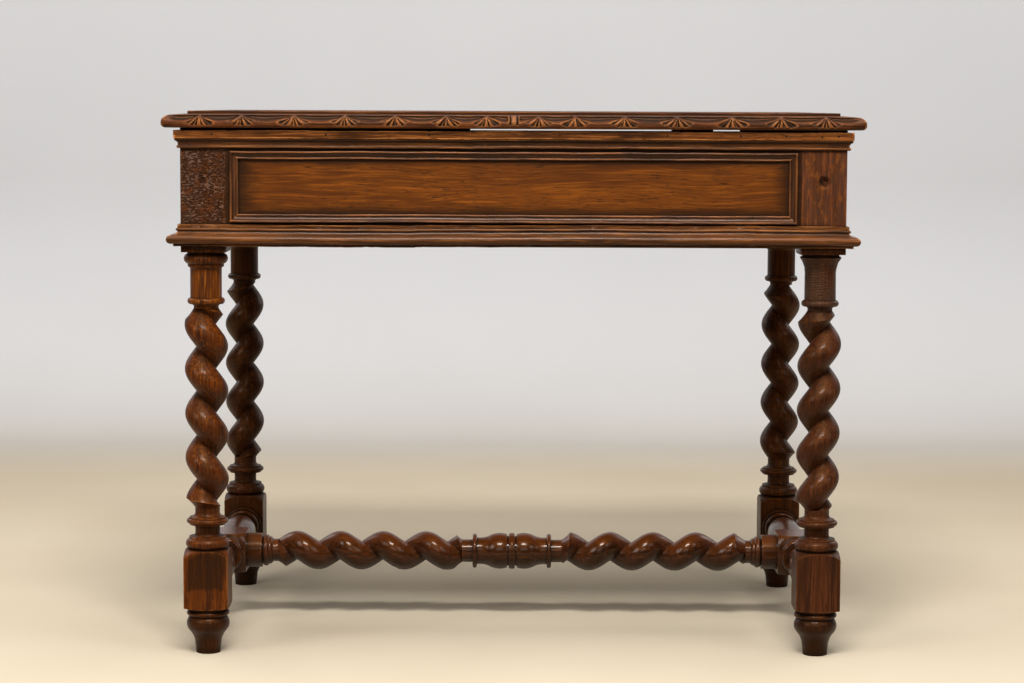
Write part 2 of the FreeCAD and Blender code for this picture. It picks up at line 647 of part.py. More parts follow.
def make_side_stretcher(name, x, angle):
    """Turned side stretcher along Y, with a square block in the middle for the centre stretcher."""
    body = new_body(name)
    block_half = s.middle_block_length / 2
    neck = block_half + s.side_collar_length
    baluster = neck + s.side_neck_length
    end = LEG_Y - s.block_width / 2
    flange = end - s.side_flange_length
    ring = flange - s.side_groove_length - s.side_ring_length
    length = ring - s.side_step_length - baluster
    swelling = s.side_baluster_radius - s.side_neck_radius
    collar_side = s.side_collar_radius - s.side_collar_length * RING_EDGE
    ring_side = s.side_ring_radius - s.side_ring_length * RING_EDGE
    hollow_middle = baluster + length * 0.22
    hollow_radius = s.side_neck_radius + swelling * 0.24
    swell_start = baluster + length * 0.4
    swell_radius = s.side_neck_radius + swelling * 0.66
    thickest = baluster + length * 0.68
    sketch = new_sketch(body, "XZ_Plane")
    draw(sketch, (ZERO, ZERO), [
        (ZERO, s.side_neck_radius),
        (block_half, s.side_neck_radius),
        (block_half, collar_side),
        (block_half + s.side_collar_length / 2, s.side_collar_radius, neck, collar_side),
        (neck, s.side_neck_radius),
        (baluster, s.side_neck_radius),
        (hollow_middle, hollow_radius, swell_start, swell_radius),
        (thickest, s.side_baluster_radius, baluster + length, s.side_waist_radius),
        (ring, s.side_waist_radius),
        (ring, ring_side),
        (ring + s.side_ring_length / 2, s.side_ring_radius, ring + s.side_ring_length, ring_side),
        (flange, ring_side),
        (flange, s.side_flange_radius),
        (end, s.side_flange_radius),
        (end, s.stretcher_tenon_radius),
        (end + s.stretcher_tenon_length, s.stretcher_tenon_radius),
        (end + s.stretcher_tenon_length, ZERO),
    ])
    half = revolve(body, sketch, "H_Axis")
    both = body.newObject("PartDesign::Mirrored", name + "_other_half")
    both.Originals = [half]
    both.MirrorPlane = (origin_plane(body, "YZ_Plane"), [""])
    body.Tip = both
    square = new_sketch(body, "YZ_Plane")
    half_width = s.middle_block_width / 2
    draw_rectangle(square, -half_width, half_width, -half_width, half_width)
    pad(body, square, s.middle_block_length, symmetric=True)
    turn_shoulders(body, "H_Axis", s.middle_block_width, -block_half, block_half,
                   s.middle_shoulder, s.middle_shoulder)
    socket = new_sketch(body, "XZ_Plane", half_width - s.stretcher_tenon_length - s.seat_clearance)
    draw_circle(socket, ZERO, ZERO, s.stretcher_tenon_radius + s.joint_clearance)
    pocket(body, socket, s.middle_block_width, backwards=True)
    place(body, x, ZERO, STRETCHER_HEIGHT, FreeCAD.Rotation(UP, angle))
    return body


def make_centre_stretcher():
    """Twisted stretcher along X: a vase at the middle, opposite twists left and right of it."""
    body = new_body("centre_half_turning")
    end = s.middle_block_width / 2 - LEG_X
    groove = end + s.centre_end_length
    ring = groove + s.centre_groove_length
    neck = ring + s.centre_ring_length
    step = neck + s.centre_step_length
    twist_start = neck + s.centre_neck_length
    middle_groove = -s.middle_ring_half - s.middle_groove_length
    vase = middle_groove - s.vase_length
    vase_ring = vase - s.vase_ring_length
    twist_end = vase_ring - s.vase_neck_length
    ring_side = s.centre_ring_radius - s.centre_ring_length * RING_EDGE
    vase_ring_side = s.vase_ring_radius - s.vase_ring_length * RING_EDGE
    swelling = s.vase_radius - s.vase_foot_radius
    vase_stem = vase + s.vase_length * 0.08
    vase_hollow = vase + s.vase_length * 0.22
    vase_hollow_radius = s.vase_foot_radius + swelling * 0.06
    vase_flank = vase + s.vase_length * 0.38
    vase_flank_radius = s.vase_foot_radius + swelling * 0.33
    vase_shoulder = vase + s.vase_length * 0.7
    vase_end_radius = s.vase_radius - swelling * 0.25
    step_drop = s.centre_step_radius - s.centre_neck_radius
    middle_ring_side = s.middle_ring_radius - s.middle_ring_half * RING_EDGE
    middle_ring_rise = s.middle_ring_radius - middle_ring_side
    sketch = new_sketch(body, "XZ_Plane")
    draw(sketch, (end - s.stretcher_tenon_length, ZERO), [
        (end - s.stretcher_tenon_length, s.stretcher_tenon_radius),
        (end, s.stretcher_tenon_radius),
        (end, s.centre_end_radius),
        (groove, s.centre_end_radius),
        (groove, s.centre_groove_radius),
        (ring, s.centre_groove_radius),
        (ring, ring_side),
        (ring + s.centre_ring_length / 2, s.centre_ring_radius, neck, ring_side),
        (neck, s.centre_step_radius),
        (neck + s.centre_step_length * ALONG, s.centre_neck_radius + step_drop * ALONG,
         step, s.centre_neck_radius),
        (twist_start, s.centre_neck_radius),
        (twist_start, s.core_radius),
        (twist_end, s.core_radius),
        (twist_end, s.centre_neck_radius),
        (vase_ring, s.centre_neck_radius),
        (vase_ring, vase_ring_side),
        (vase_ring + s.vase_ring_length / 2, s.vase_ring_radius, vase, vase_ring_side),
        (vase, s.vase_foot_radius),
        (vase_stem, s.vase_foot_radius),
        (vase_hollow, vase_hollow_radius, vase_flank, vase_flank_radius),
        (vase_shoulder, s.vase_radius, middle_groove, vase_end_radius),
        (middle_groove, s.middle_groove_radius),
        (-s.middle_ring_half, s.middle_groove_radius),
        (-s.middle_ring_half, middle_ring_side),
        (-s.middle_ring_half / 2, middle_ring_side + middle_ring_rise * 0.75, ZERO, s.middle_ring_radius),
        (ZERO, ZERO),
    ])
    revolve(body, sketch, "H_Axis")
    halves = []
    for side, crest in (("left", s.centre_left_crest), ("right", s.centre_right_crest)):
        strand = twist("centre_" + side + "_twist", twist_end - twist_start, s.centre_twist_pitch,
                       s.centre_twist_crest, s.centre_twist_valley, s.centre_neck_radius, crest, False,
                       s.twist_run_out, s.twist_lip)
        place(strand, twist_start, ZERO, ZERO, FreeCAD.Rotation(FreeCAD.Vector(0, 1, 0), 90))
        halves.append(join("centre_" + side + "_half", [body, strand]))
    right_half = mirror("centre_right_turned", halves[1], FreeCAD.Vector(1, 0, 0))
    whole = join("centre_stretcher", [halves[0], right_half])
    place(whole, ZERO, ZERO, STRETCHER_HEIGHT)
    return whole


def cut_rear_dips(body, rim, depth, backwards):
    """Cut the low stretches of the rear rim, on both sides of the right hinge."""
    hinge_half = s.hinge_length / 2 + s.dip_margin
    post = LEG_X - POST_HALF - s.dip_margin
    sketch = new_sketch(body, "XZ_Plane")
    for start, end in ((s.dip_start, HINGE_X - hinge_half), (HINGE_X + hinge_half, post)):
        draw_rectangle(sketch, -end, -start, rim - s.dip_depth, rim + s.seat_clearance)
    pocket(body, sketch, depth, backwards=backwards)


def make_apron(side):
    """Frieze board between two posts, with a pegged tenon at each end."""
    body = new_body(side.name + "_apron")
    board = new_sketch(body, "XZ_Plane")
    draw_rectangle(board, -side.half_span, side.half_span, FRIEZE_BOTTOM, RIM)
    pad(body, board, s.apron_thickness, backwards=True)
    tenon = new_sketch(body, "XZ_Plane", -s.tenon_setback)
    tenon_end = side.half_span + TENON_LENGTH
    draw_rectangle(tenon, -tenon_end, tenon_end, FRIEZE_BOTTOM + s.tenon_shoulder, RIM - s.tenon_shoulder)
    pad(body, tenon, s.tenon_thickness, backwards=True)
    holes = new_sketch(body, "XZ_Plane")
    for peg in (-side.half_span - POST_HALF, side.half_span + POST_HALF):
        draw_circle(holes, peg, PEG_HEIGHT, s.peg_radius + s.pin_clearance)
    pocket(body, holes, s.apron_thickness)
    if side.name == "rear":
        cut_rear_dips(body, RIM, s.apron_thickness, False)
    place_on_side(body, side, ZERO, side.face, ZERO)
    return body


def make_pegs():
    """Pegs that lock the frieze tenons, two in each post."""
    pegs = []
    for right in (-1, 1):
        for rear in (-1, 1):
            front_peg = doc.addObject("Part::Cylinder", "front_peg")
            turn = FreeCAD.Rotation(UP, FreeCAD.Vector(0, -rear, 0))
            place(front_peg, LEG_X * right, (FRIEZE_Y - s.peg_sink) * rear, PEG_HEIGHT, turn)
            end_peg = doc.addObject("Part::Cylinder", "end_peg")
            turn = FreeCAD.Rotation(UP, FreeCAD.Vector(-right, 0, 0))
            place(end_peg, (FRIEZE_X - s.peg_sink) * right, LEG_Y * rear, PEG_HEIGHT, turn)
            pegs += [front_peg, end_peg]
    for peg in pegs:
        bind(peg, "Radius", s.peg_radius)
        bind(peg, "Height", s.peg_length)
    group = doc.addObject("Part::Compound", "apron_pegs")
    group.Label = "apron_pegs"
    group.Links = pegs
    return group


def outside_moulding(name, outline, inner_half, reach, depth):
    """Straight moulding along X, mitred outwards at both ends. Its back is at y = 0."""
    body = new_body(name)
    profile = new_sketch(body, "YZ_Plane")
    draw(profile, outline[0], outline[1:])
    pad(body, profile, (inner_half + reach) * 2, symmetric=True)
    margin = s.seat_clearance
    mitre = new_sketch(body, "XY_Plane")
    for end in (-1, 1):
        draw(mitre, ((inner_half - margin) * end, margin), [
            ((inner_half + reach + margin) * end, -reach - margin),
            ((inner_half + reach + margin) * end, margin),
        ])
    pocket(body, mitre, depth * 2 + margin, symmetric=True)
    return body


def make_cornice(side):
    """Planted moulding under the rim: flat face, bead, hollow and a bead at the foot."""
    bead = -s.cornice_fascia
    cove = bead - s.cornice_bead
    foot = cove - s.cornice_cove
    bottom = foot - s.cornice_foot
    bead_reach = s.cornice_reach - s.cornice_quirk
    foot_reach = bead_reach - s.cornice_cove_depth
    outline = [
        (ZERO, ZERO),
        (-s.cornice_reach, ZERO),
        (-s.cornice_reach, bead),
        (-bead_reach, bead),
        (-bead_reach - s.cornice_bead_bulge, (bead + cove) / 2, -bead_reach, cove),
        (-foot_reach - s.cornice_cove_depth * ACROSS, cove - s.cornice_cove * ACROSS, -foot_reach, foot),
        (-foot_reach - s.cornice_foot_bulge, (foot + bottom) / 2, -foot_reach, bottom),
        (ZERO, bottom),
    ]
    body = outside_moulding(side.name + "_cornice", outline, side.half_face, s.cornice_reach,
                            RIM - CORNICE_BOTTOM)
    if side.name == "rear":
        cut_rear_dips(body, ZERO, s.cornice_reach, True)
    place_on_side(body, side, ZERO, side.face, RIM)
    return body


def make_base_moulding(side):
    """Planted moulding under the frieze: band, bead, hollow, round nose and a band at the foot."""
    bead = -s.base_fillet_band
    cove = bead - s.base_bead
    nose = cove - s.base_cove
    foot = nose - s.base_nose
    bottom = foot - s.base_foot
    bead_reach = s.base_fillet_reach + s.base_bead_bulge
    hollow = s.base_cove_reach - s.base_fillet_reach
    nose_side = s.base_nose_reach - s.base_nose / 2
    outline = [
        (ZERO, ZERO),
        (-s.base_fillet_reach, ZERO),
        (-s.base_fillet_reach, bead),
        (-bead_reach, (bead + cove) / 2, -s.base_fillet_reach, cove),
        (-s.base_fillet_reach - hollow * ACROSS, cove - s.base_cove * ALONG, -s.base_cove_reach, nose),
        (-nose_side, nose),
        (-s.base_nose_reach, (nose + foot) / 2, -nose_side, foot),
        (-s.base_foot_reach, foot),
        (-s.base_foot_reach, bottom),
        (ZERO, bottom),
    ]
    body = outside_moulding(side.name + "_base_moulding", outline, side.half_face, s.base_nose_reach,
                            BASE_TOP - FRIEZE_BOTTOM)
    place_on_side(body, side, ZERO, side.face, BASE_TOP)
    return body


def panel_moulding(name, half_length):
    """One length of the moulding round a panel: outer edge at z = 0, back at y = 0, mitred inwards."""
    width = s.panel_moulding_width
    bead_side = s.panel_moulding_reach - s.panel_moulding_bead / 2
    lip = s.panel_moulding_lip - width
    lip_side = s.panel_moulding_lip_reach - s.panel_moulding_lip / 2
    body = new_body(name)
    profile = new_sketch(body, "YZ_Plane")
    draw(profile, (ZERO, ZERO), [
        (-bead_side, ZERO),
        (-s.panel_moulding_reach, -s.panel_moulding_bead / 2, -bead_side, -s.panel_moulding_bead),
        (-s.panel_moulding_hollow, (lip - s.panel_moulding_bead) / 2, -lip_side, lip),
        (-s.panel_moulding_lip_reach, lip - s.panel_moulding_lip / 2, -lip_side, -width),
        (ZERO, -width),
    ])
    pad(body, profile, half_length * 2, symmetric=True)
    margin = s.seat_clearance
    mitre = new_sketch(body, "XZ_Plane")
    for end in (-1, 1):
        draw(mitre, ((half_length + margin) * end, margin), [
            ((half_length - width - margin) * end, -width - margin),
            ((half_length + margin) * end, -width - margin),
        ])
    pocket(body, mitre, s.panel_moulding_reach * 2 + margin, symmetric=True)
    return body


def make_panel_frame(side):
    """Four mitred lengths of moulding that frame the panel on one side of the box."""
    top = CORNICE_BOTTOM - s.panel_inset_up
    bottom = BASE_TOP + s.panel_inset_up
    half_width = side.half_span - s.panel_inset_side
    half_height = (top - bottom) / 2
    middle = (top + bottom) / 2
    lengths = []
    for edge, half_length, along, height, roll in (
            ("top", half_width, ZERO, top, 0),
            ("right", half_height, half_width, middle, 90),
            ("bottom", half_width, ZERO, bottom, 180),
            ("left", half_height, -half_width, middle, 270)):
        length = panel_moulding(side.name + "_panel_moulding_" + edge, half_length)
        place_on_side(length, side, along, side.face, height, roll)
        lengths.append(length)
    return lengths


def make_box(name, length, width, height, x, y, z):
    """Plain board with its lowest corner at x, y, z."""
    board = doc.addObject("Part::Box", name)
    board.Label = name
    bind(board, "Length", length)
    bind(board, "Width", width)
    bind(board, "Height", height)
    place(board, x, y, z)
    return board


def make_box_bottom():
    """Three boards along the box, notched round the posts, on a bearer at each end."""
    inside_x = FRIEZE_X - s.apron_thickness - s.joint_clearance
    inside_y = FRIEZE_Y - s.apron_thickness - s.joint_clearance
    between_posts_x = LEG_X - POST_HALF - s.joint_clearance
    between_posts_y = LEG_Y - POST_HALF - s.joint_clearance
    board_width = inside_y * 2 / 3
    joint = board_width / 2
    top = FRIEZE_BOTTOM + s.bottom_drop
    underside = top - s.bottom_thickness
    pieces = [make_box("bottom_middle_board", inside_x * 2, board_width, s.bottom_thickness,
                       -inside_x, -joint, underside)]
    for name, rear in (("bottom_front_board", -1), ("bottom_rear_board", 1)):
        body = new_body(name)
        sketch = new_sketch(body, "XY_Plane")
        draw(sketch, (-inside_x, (joint + s.joint_clearance) * rear), [
            (inside_x, (joint + s.joint_clearance) * rear),
            (inside_x, between_posts_y * rear),
            (between_posts_x, between_posts_y * rear),
            (between_posts_x, inside_y * rear),
            (-between_posts_x, inside_y * rear),
            (-between_posts_x, between_posts_y * rear),
            (-inside_x, between_posts_y * rear),
        ])
        pad(body, sketch, s.bottom_thickness)
        place(body, ZERO, ZERO, underside)
        pieces.append(body)
    for name, x in (("bottom_left_bearer", s.apron_thickness - FRIEZE_X),
                    ("bottom_right_bearer", FRIEZE_X - s.apron_thickness - s.bearer_width)):
        pieces.append(make_box(name, s.bearer_width, between_posts_y * 2, s.bearer_height,
                               x, -between_posts_y, underside - s.bearer_height))
    return pieces


def make_lid_edge(side):
    """Edge of the lid on one side: a step below the field, a gentle fall and a round nose."""
    width = s.lid_edge_width
    top = s.lid_thickness - s.lid_edge_drop
    shoulder = top - s.lid_edge_fall
    nose = s.lid_under_round + s.lid_nose_height
    outline = [
        (ZERO, ZERO),
        (s.lid_under_round - width, ZERO),
        (s.lid_under_round * ACROSS - width, s.lid_under_round * ACROSS, -width, s.lid_under_round),
        (-width, nose),
        (s.lid_edge_round * ACROSS - width, nose + (shoulder - nose) * ALONG,
         s.lid_edge_round - width, shoulder),
        (ZERO, top),
    ]
    inner_half = side.half_face + s.lid_overhang - width
    body = outside_moulding("lid_" + side.name + "_edge", outline, inner_half, width, s.lid_thickness)
    place_on_side(body, side, ZERO, side.face + s.lid_overhang - width, LID_UNDERSIDE)
    return body


def make_lid():
    """Three boards, four edges mitred round them and two battens underneath."""
    half_x = FRIEZE_X + s.lid_overhang - s.lid_edge_width
    half_y = FRIEZE_Y + s.lid_overhang - s.lid_edge_width
    board_width = half_y * 2 / 3
    pieces = [make_lid_edge(side) for side in SIDES]
    for index, name in enumerate(("lid_front_board", "lid_middle_board", "lid_rear_board")):
        pieces.append(make_box(name, half_x * 2, board_width, s.lid_thickness,
                               -half_x, board_width * index - half_y, LID_UNDERSIDE))
    batten_half = FRIEZE_Y - s.apron_thickness - s.batten_end
    batten_x = LEG_X - POST_HALF - s.batten_margin - s.batten_width / 2
    for name, side in (("lid_left_batten", -1), ("lid_right_batten", 1)):
        body = new_body(name)
        sketch = new_sketch(body, "YZ_Plane")
        draw(sketch, (-batten_half, ZERO), [
            (batten_half, ZERO),
            (batten_half, -s.batten_thickness / 2),
            (batten_half - s.batten_thickness, -s.batten_thickness),
            (s.batten_thickness - batten_half, -s.batten_thickness),
            (-batten_half, -s.batten_thickness / 2),
        ])
        pad(body, sketch, s.batten_width, symmetric=True)
        place(body, batten_x * side, ZERO, LID_UNDERSIDE)
        pieces.append(body)
    return pieces


def make_hinge_leaf(name, x, plate_bottom, on_lid):
    """Leaf of a hinge about its pin: the plate, its rolled knuckles and the bore."""
    body = new_body(name)
    plate = new_sketch(body, "YZ_Plane")
    draw_rectangle(plate, -s.hinge_leaf_width, ZERO, plate_bottom, plate_bottom + HINGE_LEAF)
    pad(body, plate, s.hinge_length, symmetric=True)
    knuckle = new_sketch(body, "YZ_Plane")
    draw_circle(knuckle, ZERO, ZERO, KNUCKLE_RADIUS)
    pad(body, knuckle, s.hinge_length, symmetric=True)
    relief = new_sketch(body, "XY_Plane")
    back = -KNUCKLE_RADIUS - s.seat_clearance
    if on_lid:
        middle = s.hinge_knuckle_length / 2 - s.seat_clearance / 2
        for end in (-1, 1):
            draw_rectangle(relief, middle * end, s.hinge_length * end, back, s.hinge_leaf_width)
    else:
        middle = s.hinge_knuckle_length / 2 + s.seat_clearance / 2
        draw_rectangle(relief, -middle, middle, back, s.hinge_leaf_width)
    pocket(body, relief, s.hinge_leaf_width, symmetric=True)
    bore = new_sketch(body, "YZ_Plane")
    draw_circle(bore, ZERO, ZERO, s.hinge_pin_radius + s.pin_clearance)
    pocket(body, bore, s.hinge_length * 2, symmetric=True)
    place(body, x, HINGE_Y, RIM)
    return body


def make_hinge(name, x):
    """Butt hinge on the rear rim: one leaf on the rim, one under the lid, and the pin."""
    frame_leaf = make_hinge_leaf(name + "_frame_leaf", x, ZERO, False)
    lid_leaf = make_hinge_leaf(name + "_lid_leaf", x, s.lid_gap - HINGE_LEAF, True)
    pin = doc.addObject("Part::Cylinder", name + "_pin")
    pin.Label = name + "_pin"
    bind(pin, "Radius", s.hinge_pin_radius)
    bind(pin, "Height", s.hinge_length)
    place(pin, x - s.hinge_length / 2, HINGE_Y, RIM, FreeCAD.Rotation(UP, FreeCAD.Vector(1, 0, 0)))
    return [frame_leaf, lid_leaf, pin]


def check_and_write(pieces):
    """Stop on any failed object or unsound solid, then write one file for each piece."""
    doc.recompute()
    for thing in doc.Objects:
        if "Invalid" in thing.State or "Error" in thing.State:
            raise RuntimeError(thing.Label + " failed: " + ", ".join(thing.State))
    for piece in pieces:
        if piece.Shape.isNull() or not piece.Shape.isValid() or not piece.Shape.Solids:
            raise RuntimeError(piece.Label + " is not a sound solid")
    os.makedirs("parts", exist_ok=True)
    for piece in pieces:
        piece.Shape.exportStep("parts/" + piece.Label + ".step")


def make_table():
    pieces = make_legs()
    pieces.append(make_side_stretcher("left_stretcher", -LEG_X, 90))
    pieces.append(make_side_stretcher("right_stretcher", LEG_X, 270))
    pieces.append(make_centre_stretcher())
    for side in SIDES:
        pieces.append(make_apron(side))
        pieces.append(make_cornice(side))
        pieces.append(make_base_moulding(side))
        pieces += make_panel_frame(side)
    pieces.append(make_pegs())
    pieces += make_box_bottom()
    pieces += make_lid()
    pieces += make_hinge("left_hinge", -HINGE_X)
    pieces += make_hinge("right_hinge", HINGE_X)
    return pieces


check_and_write(make_table())
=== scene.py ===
"""Looks of an oak writing table: old polish, worn mouldings, a carved lid edge, nails, camera and light."""
import math

import bmesh
import bpy
import numpy as np
from mathutils import Matrix, Vector, noise


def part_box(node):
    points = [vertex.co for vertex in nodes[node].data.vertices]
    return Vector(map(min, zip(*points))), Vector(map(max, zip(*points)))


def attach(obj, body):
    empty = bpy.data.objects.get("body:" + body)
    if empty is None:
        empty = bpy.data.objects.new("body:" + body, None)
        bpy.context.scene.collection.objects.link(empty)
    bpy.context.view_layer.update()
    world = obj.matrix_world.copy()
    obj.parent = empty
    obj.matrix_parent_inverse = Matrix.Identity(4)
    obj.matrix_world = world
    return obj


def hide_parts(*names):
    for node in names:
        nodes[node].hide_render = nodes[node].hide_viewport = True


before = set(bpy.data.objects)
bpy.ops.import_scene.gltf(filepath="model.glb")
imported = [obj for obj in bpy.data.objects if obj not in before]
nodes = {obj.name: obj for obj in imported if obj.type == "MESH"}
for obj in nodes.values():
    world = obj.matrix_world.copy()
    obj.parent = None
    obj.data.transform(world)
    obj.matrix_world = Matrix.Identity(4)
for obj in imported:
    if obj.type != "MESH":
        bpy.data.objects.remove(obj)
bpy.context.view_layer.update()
MM = 0.001
SIDES = ("front", "right", "rear", "left")


# Materials

# Near-black brown laid as real dirt in pores, cracks and feet, and as painted shade in hollows, lines and
# undersides
GRIME_AND_SHADE = "#150A05"
BROWN_POLISH = "#B08C6C"
AMBER_POLISH = "#B0763C"
PEG_HEIGHT = sum(corner.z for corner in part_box("apron_pegs")) / 2
# Heights in metres over which the turned part of a leg passes into its square head
POST_STEP = (0.574, 0.582)
COLUMN_END = (0.577, 0.574)


def colour(code):
    """Linear colour of an sRGB hex value."""
    channels = [int(code[place:place + 2], 16) / 255 for place in (1, 3, 5)]
    linear = [c / 12.92 if c <= 0.04045 else ((c + 0.055) / 1.055) ** 2.4 for c in channels]
    return (*linear, 1.0)


def add(tree, kind, settings=None, links=None, out=None):
    """Add a node with its settings and links, and give back one of its outputs."""
    made = tree.nodes.new("ShaderNode" + kind)
    for key, value in (settings or {}).items():
        if isinstance(key, int) or key in made.inputs:
            made.inputs[key].default_value = value
        else:
            setattr(made, key, value)
    for key, source in (links or {}).items():
        tree.links.new(source, made.inputs[key])
    if out:
        return made.outputs[out]
    return next(socket for socket in made.outputs if socket.enabled)


def new_material(name):
    """A new material, with its node tree and its shader."""
    material = bpy.data.materials.new(name)
    material.use_nodes = True
    return material, material.node_tree, material.node_tree.nodes["Principled BSDF"]


def where(tree, *steps, most=1.0):
    """Mask of the places where all steps hold: each is a value and the limits between which it sets in."""
    mask = None
    for value, low, high in steps:
        limits = {"interpolation_type": "SMOOTHSTEP", "From Min": low, "From Max": high, "To Max": most}
        step = add(tree, "MapRange", limits, {"Value": value})
        mask = step if mask is None else add(tree, "Math", {"operation": "MULTIPLY"}, {0: mask, 1: step})
        most = 1.0
    return mask


def lay(tree, wood, over, most, *steps):
    """Lay a colour over the wood, with a given greatest strength, where all steps hold."""
    mask = where(tree, *steps, most=most)
    return add(tree, "Mix", {"data_type": "RGBA", 7: colour(over)}, {0: mask, 6: wood})


def speckle(tree, place, wide_mm, high_mm, settings):
    """Noise in flecks of a given width and height."""
    scale = (1 / (wide_mm * MM), 1 / (wide_mm * MM), 1 / (high_mm * MM))
    sized = add(tree, "Mapping", {"Scale": scale}, {"Vector": place})
    return add(tree, "TexNoise", {"Scale": 1.0, **settings}, {"Vector": sized})


def oak(name, grain, tones, roughness=0.45, coat=0.0, polish=BROWN_POLISH, wear=0.8, crevice_mm=7.0,
        shade=None, surface=None, cut=None):
    """Old oak, planed or turned, then waxed and handled for a very long time.

    The eye gets open pores along the grain, streaks of early and late wood, arrises rubbed bare and warm,
    and hollows darkened by old wax and dirt and by painted shade. The tones are its deep, usual, bright and
    worn colours. Shade and surface add what only one kind of piece has, and cut names the attribute that
    holds the dirt and painted shade in its carving.
    """
    deep, usual, bright, worn = tones
    material, tree, shader = new_material(name)
    place = add(tree, "TexCoord", out="Object")
    plank = add(tree, "Attribute", {"attribute_type": "OBJECT", "attribute_name": "plank"}, out="Fac")
    bend_mm = 130.0
    sway_mm = 12.0
    bend = add(tree, "TexNoise", {"noise_dimensions": "4D", "Scale": 1 / (bend_mm * MM), "Detail": 1.0},
               {"Vector": place, "W": plank}, out="Color")
    sway = {"operation": "MULTIPLY_ADD", 1: [sway_mm * MM] * 3}
    wavy = add(tree, "VectorMath", sway, {0: bend, 2: place})

    def streaks(width_mm, stretch, detail):
        scale = [1 / (width_mm * MM)] * 3
        scale["XYZ".index(grain)] /= stretch
        along = add(tree, "Mapping", {"Scale": scale}, {"Vector": wavy})
        settings = {"noise_dimensions": "4D", "Scale": 1.0, "Detail": detail, "Roughness": 0.6}
        return add(tree, "TexNoise", settings, {"Vector": along, "W": plank})

    figure = streaks(20.0, 12.0, 3.0)
    rings = streaks(2.6, 34.0, 4.0)
    # Real pores are a quarter of a millimetre wide, drawn coarser so that they show
    pores = streaks(1.3, 15.0, 2.0)
    patches = streaks(40.0, 2.5, 3.0)
    rubbing = streaks(8.0, 10.0, 3.0)
    open_pores = where(tree, (pores, 0.54, 0.66), (figure, 0.35, 0.55))

    arris_mm = 2.4
    near_arris = {"samples": 6, "inside": True, "only_local": True, "Distance": arris_mm * MM}
    convex = add(tree, "AmbientOcclusion", near_arris, out="AO")
    # Occlusion darkens the hollows: partly real wax and dirt, partly painted shade
    hollow = add(tree, "AmbientOcclusion", {"samples": 6, "Distance": crevice_mm * MM}, out="AO")
    uneven = add(tree, "Math", {"operation": "MULTIPLY_ADD", 1: 0.35}, {0: patches, 2: hollow})
    dirt_and_shade = where(tree, (uneven, 1.1, 0.6))
    if cut:
        carved_dirt_and_shade = add(tree, "Attribute", {"attribute_name": cut}, out="Fac")
        carved_dark = where(tree, (carved_dirt_and_shade, 0.0, 0.7), most=0.95)
        dirt_and_shade = add(tree, "Math", {"operation": "MAXIMUM"}, {0: dirt_and_shade, 1: carved_dark})

    wood = add(tree, "Mix", {"data_type": "RGBA", 6: colour(deep), 7: colour(usual)},
               {0: where(tree, (figure, 0.3, 0.66))})
    wood = lay(tree, wood, bright, 0.75, (rings, 0.46, 0.7))
    wood = lay(tree, wood, deep, 0.6, (rings, 0.5, 0.3))
    wood = lay(tree, wood, deep, 0.4, (patches, 0.56, 0.34))
    wood = lay(tree, wood, GRIME_AND_SHADE, 0.7, (open_pores, 0.0, 1.0))
    wood = lay(tree, wood, worn, wear, (convex, 0.92, 0.5), (rubbing, 0.4, 0.62))
    if shade:
        wood = shade(tree, place, patches, wood)
    # Dirt and painted shade in the hollows go over the wood
    wood = add(tree, "Mix", {"data_type": "RGBA", 7: colour(GRIME_AND_SHADE)}, {0: dirt_and_shade, 6: wood})
    tree.links.new(wood, shader.inputs["Base Color"])

    dull = add(tree, "MapRange", {"To Min": roughness - 0.1, "To Max": roughness + 0.12}, {"Value": patches})
    dull = add(tree, "Math", {"operation": "MULTIPLY_ADD", 1: 0.4, "use_clamp": True}, {0: dirt_and_shade, 2: dull})
    tree.links.new(dull, shader.inputs["Roughness"])
    # Aged shellac is brown to amber, so it warms what the wood mirrors
    shader.inputs["Specular Tint"].default_value = colour(polish)
    shader.inputs["Coat Weight"].default_value = coat
    shader.inputs["Coat Roughness"].default_value = 0.14

    eased_mm = 0.9
    hand_mm = 16.0
    eased = add(tree, "Bevel", {"samples": 4, "Radius": eased_mm * MM})
    fibres = add(tree, "Math", {"operation": "MULTIPLY_ADD", 1: -0.6}, {0: open_pores, 2: rings})
    bumps = add(tree, "Bump", {"Strength": 0.5, "Distance": 0.4 * MM}, {"Height": fibres, "Normal": eased})
    if surface:
        bumps = surface(tree, place, bumps)
    planed = add(tree, "TexNoise", {"Scale": 1 / (hand_mm * MM), "Detail": 2.0}, {"Vector": place})
    bumps = add(tree, "Bump", {"Strength": 0.3, "Distance": 0.6 * MM}, {"Height": planed, "Normal": bumps})
    tree.links.new(bumps, shader.inputs["Normal"])
    return material


def panel_shade(tree, place, patches, wood):
    """Dark polish gathered in a frayed band along the moulding round the front panel, with painted shade
    along that edge.
    """
    x = add(tree, "SeparateXYZ", {}, {0: place}, out="X")
    z = add(tree, "SeparateXYZ", {}, {0: place}, out="Z")
    bands = (
        (x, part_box("front_panel_moulding_left")[1].x, 1, 34),
        (x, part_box("front_panel_moulding_right")[0].x, -1, 26),
        (z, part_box("front_panel_moulding_bottom")[1].z, 1, 15),
        (z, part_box("front_panel_moulding_top")[0].z, -1, 12),
    )
    # The band is real dark polish together with painted shade from the moulding
    dark = None
    for across, edge, inward, reach_mm in bands:
        slope = inward / (reach_mm * MM)
        depth = add(tree, "Math", {"operation": "MULTIPLY_ADD", 1: slope, 2: -edge * slope}, {0: across})
        frayed = add(tree, "Math", {"operation": "MULTIPLY_ADD", 1: -1.2}, {0: patches, 2: depth})
        band = where(tree, (frayed, 0.5, -0.6), most=0.85)
        dark = band if dark is None else add(tree, "Math", {"operation": "MAXIMUM"}, {0: dark, 1: band})
    return add(tree, "Mix", {"data_type": "RGBA", 7: colour(GRIME_AND_SHADE)}, {0: dark, 6: wood})


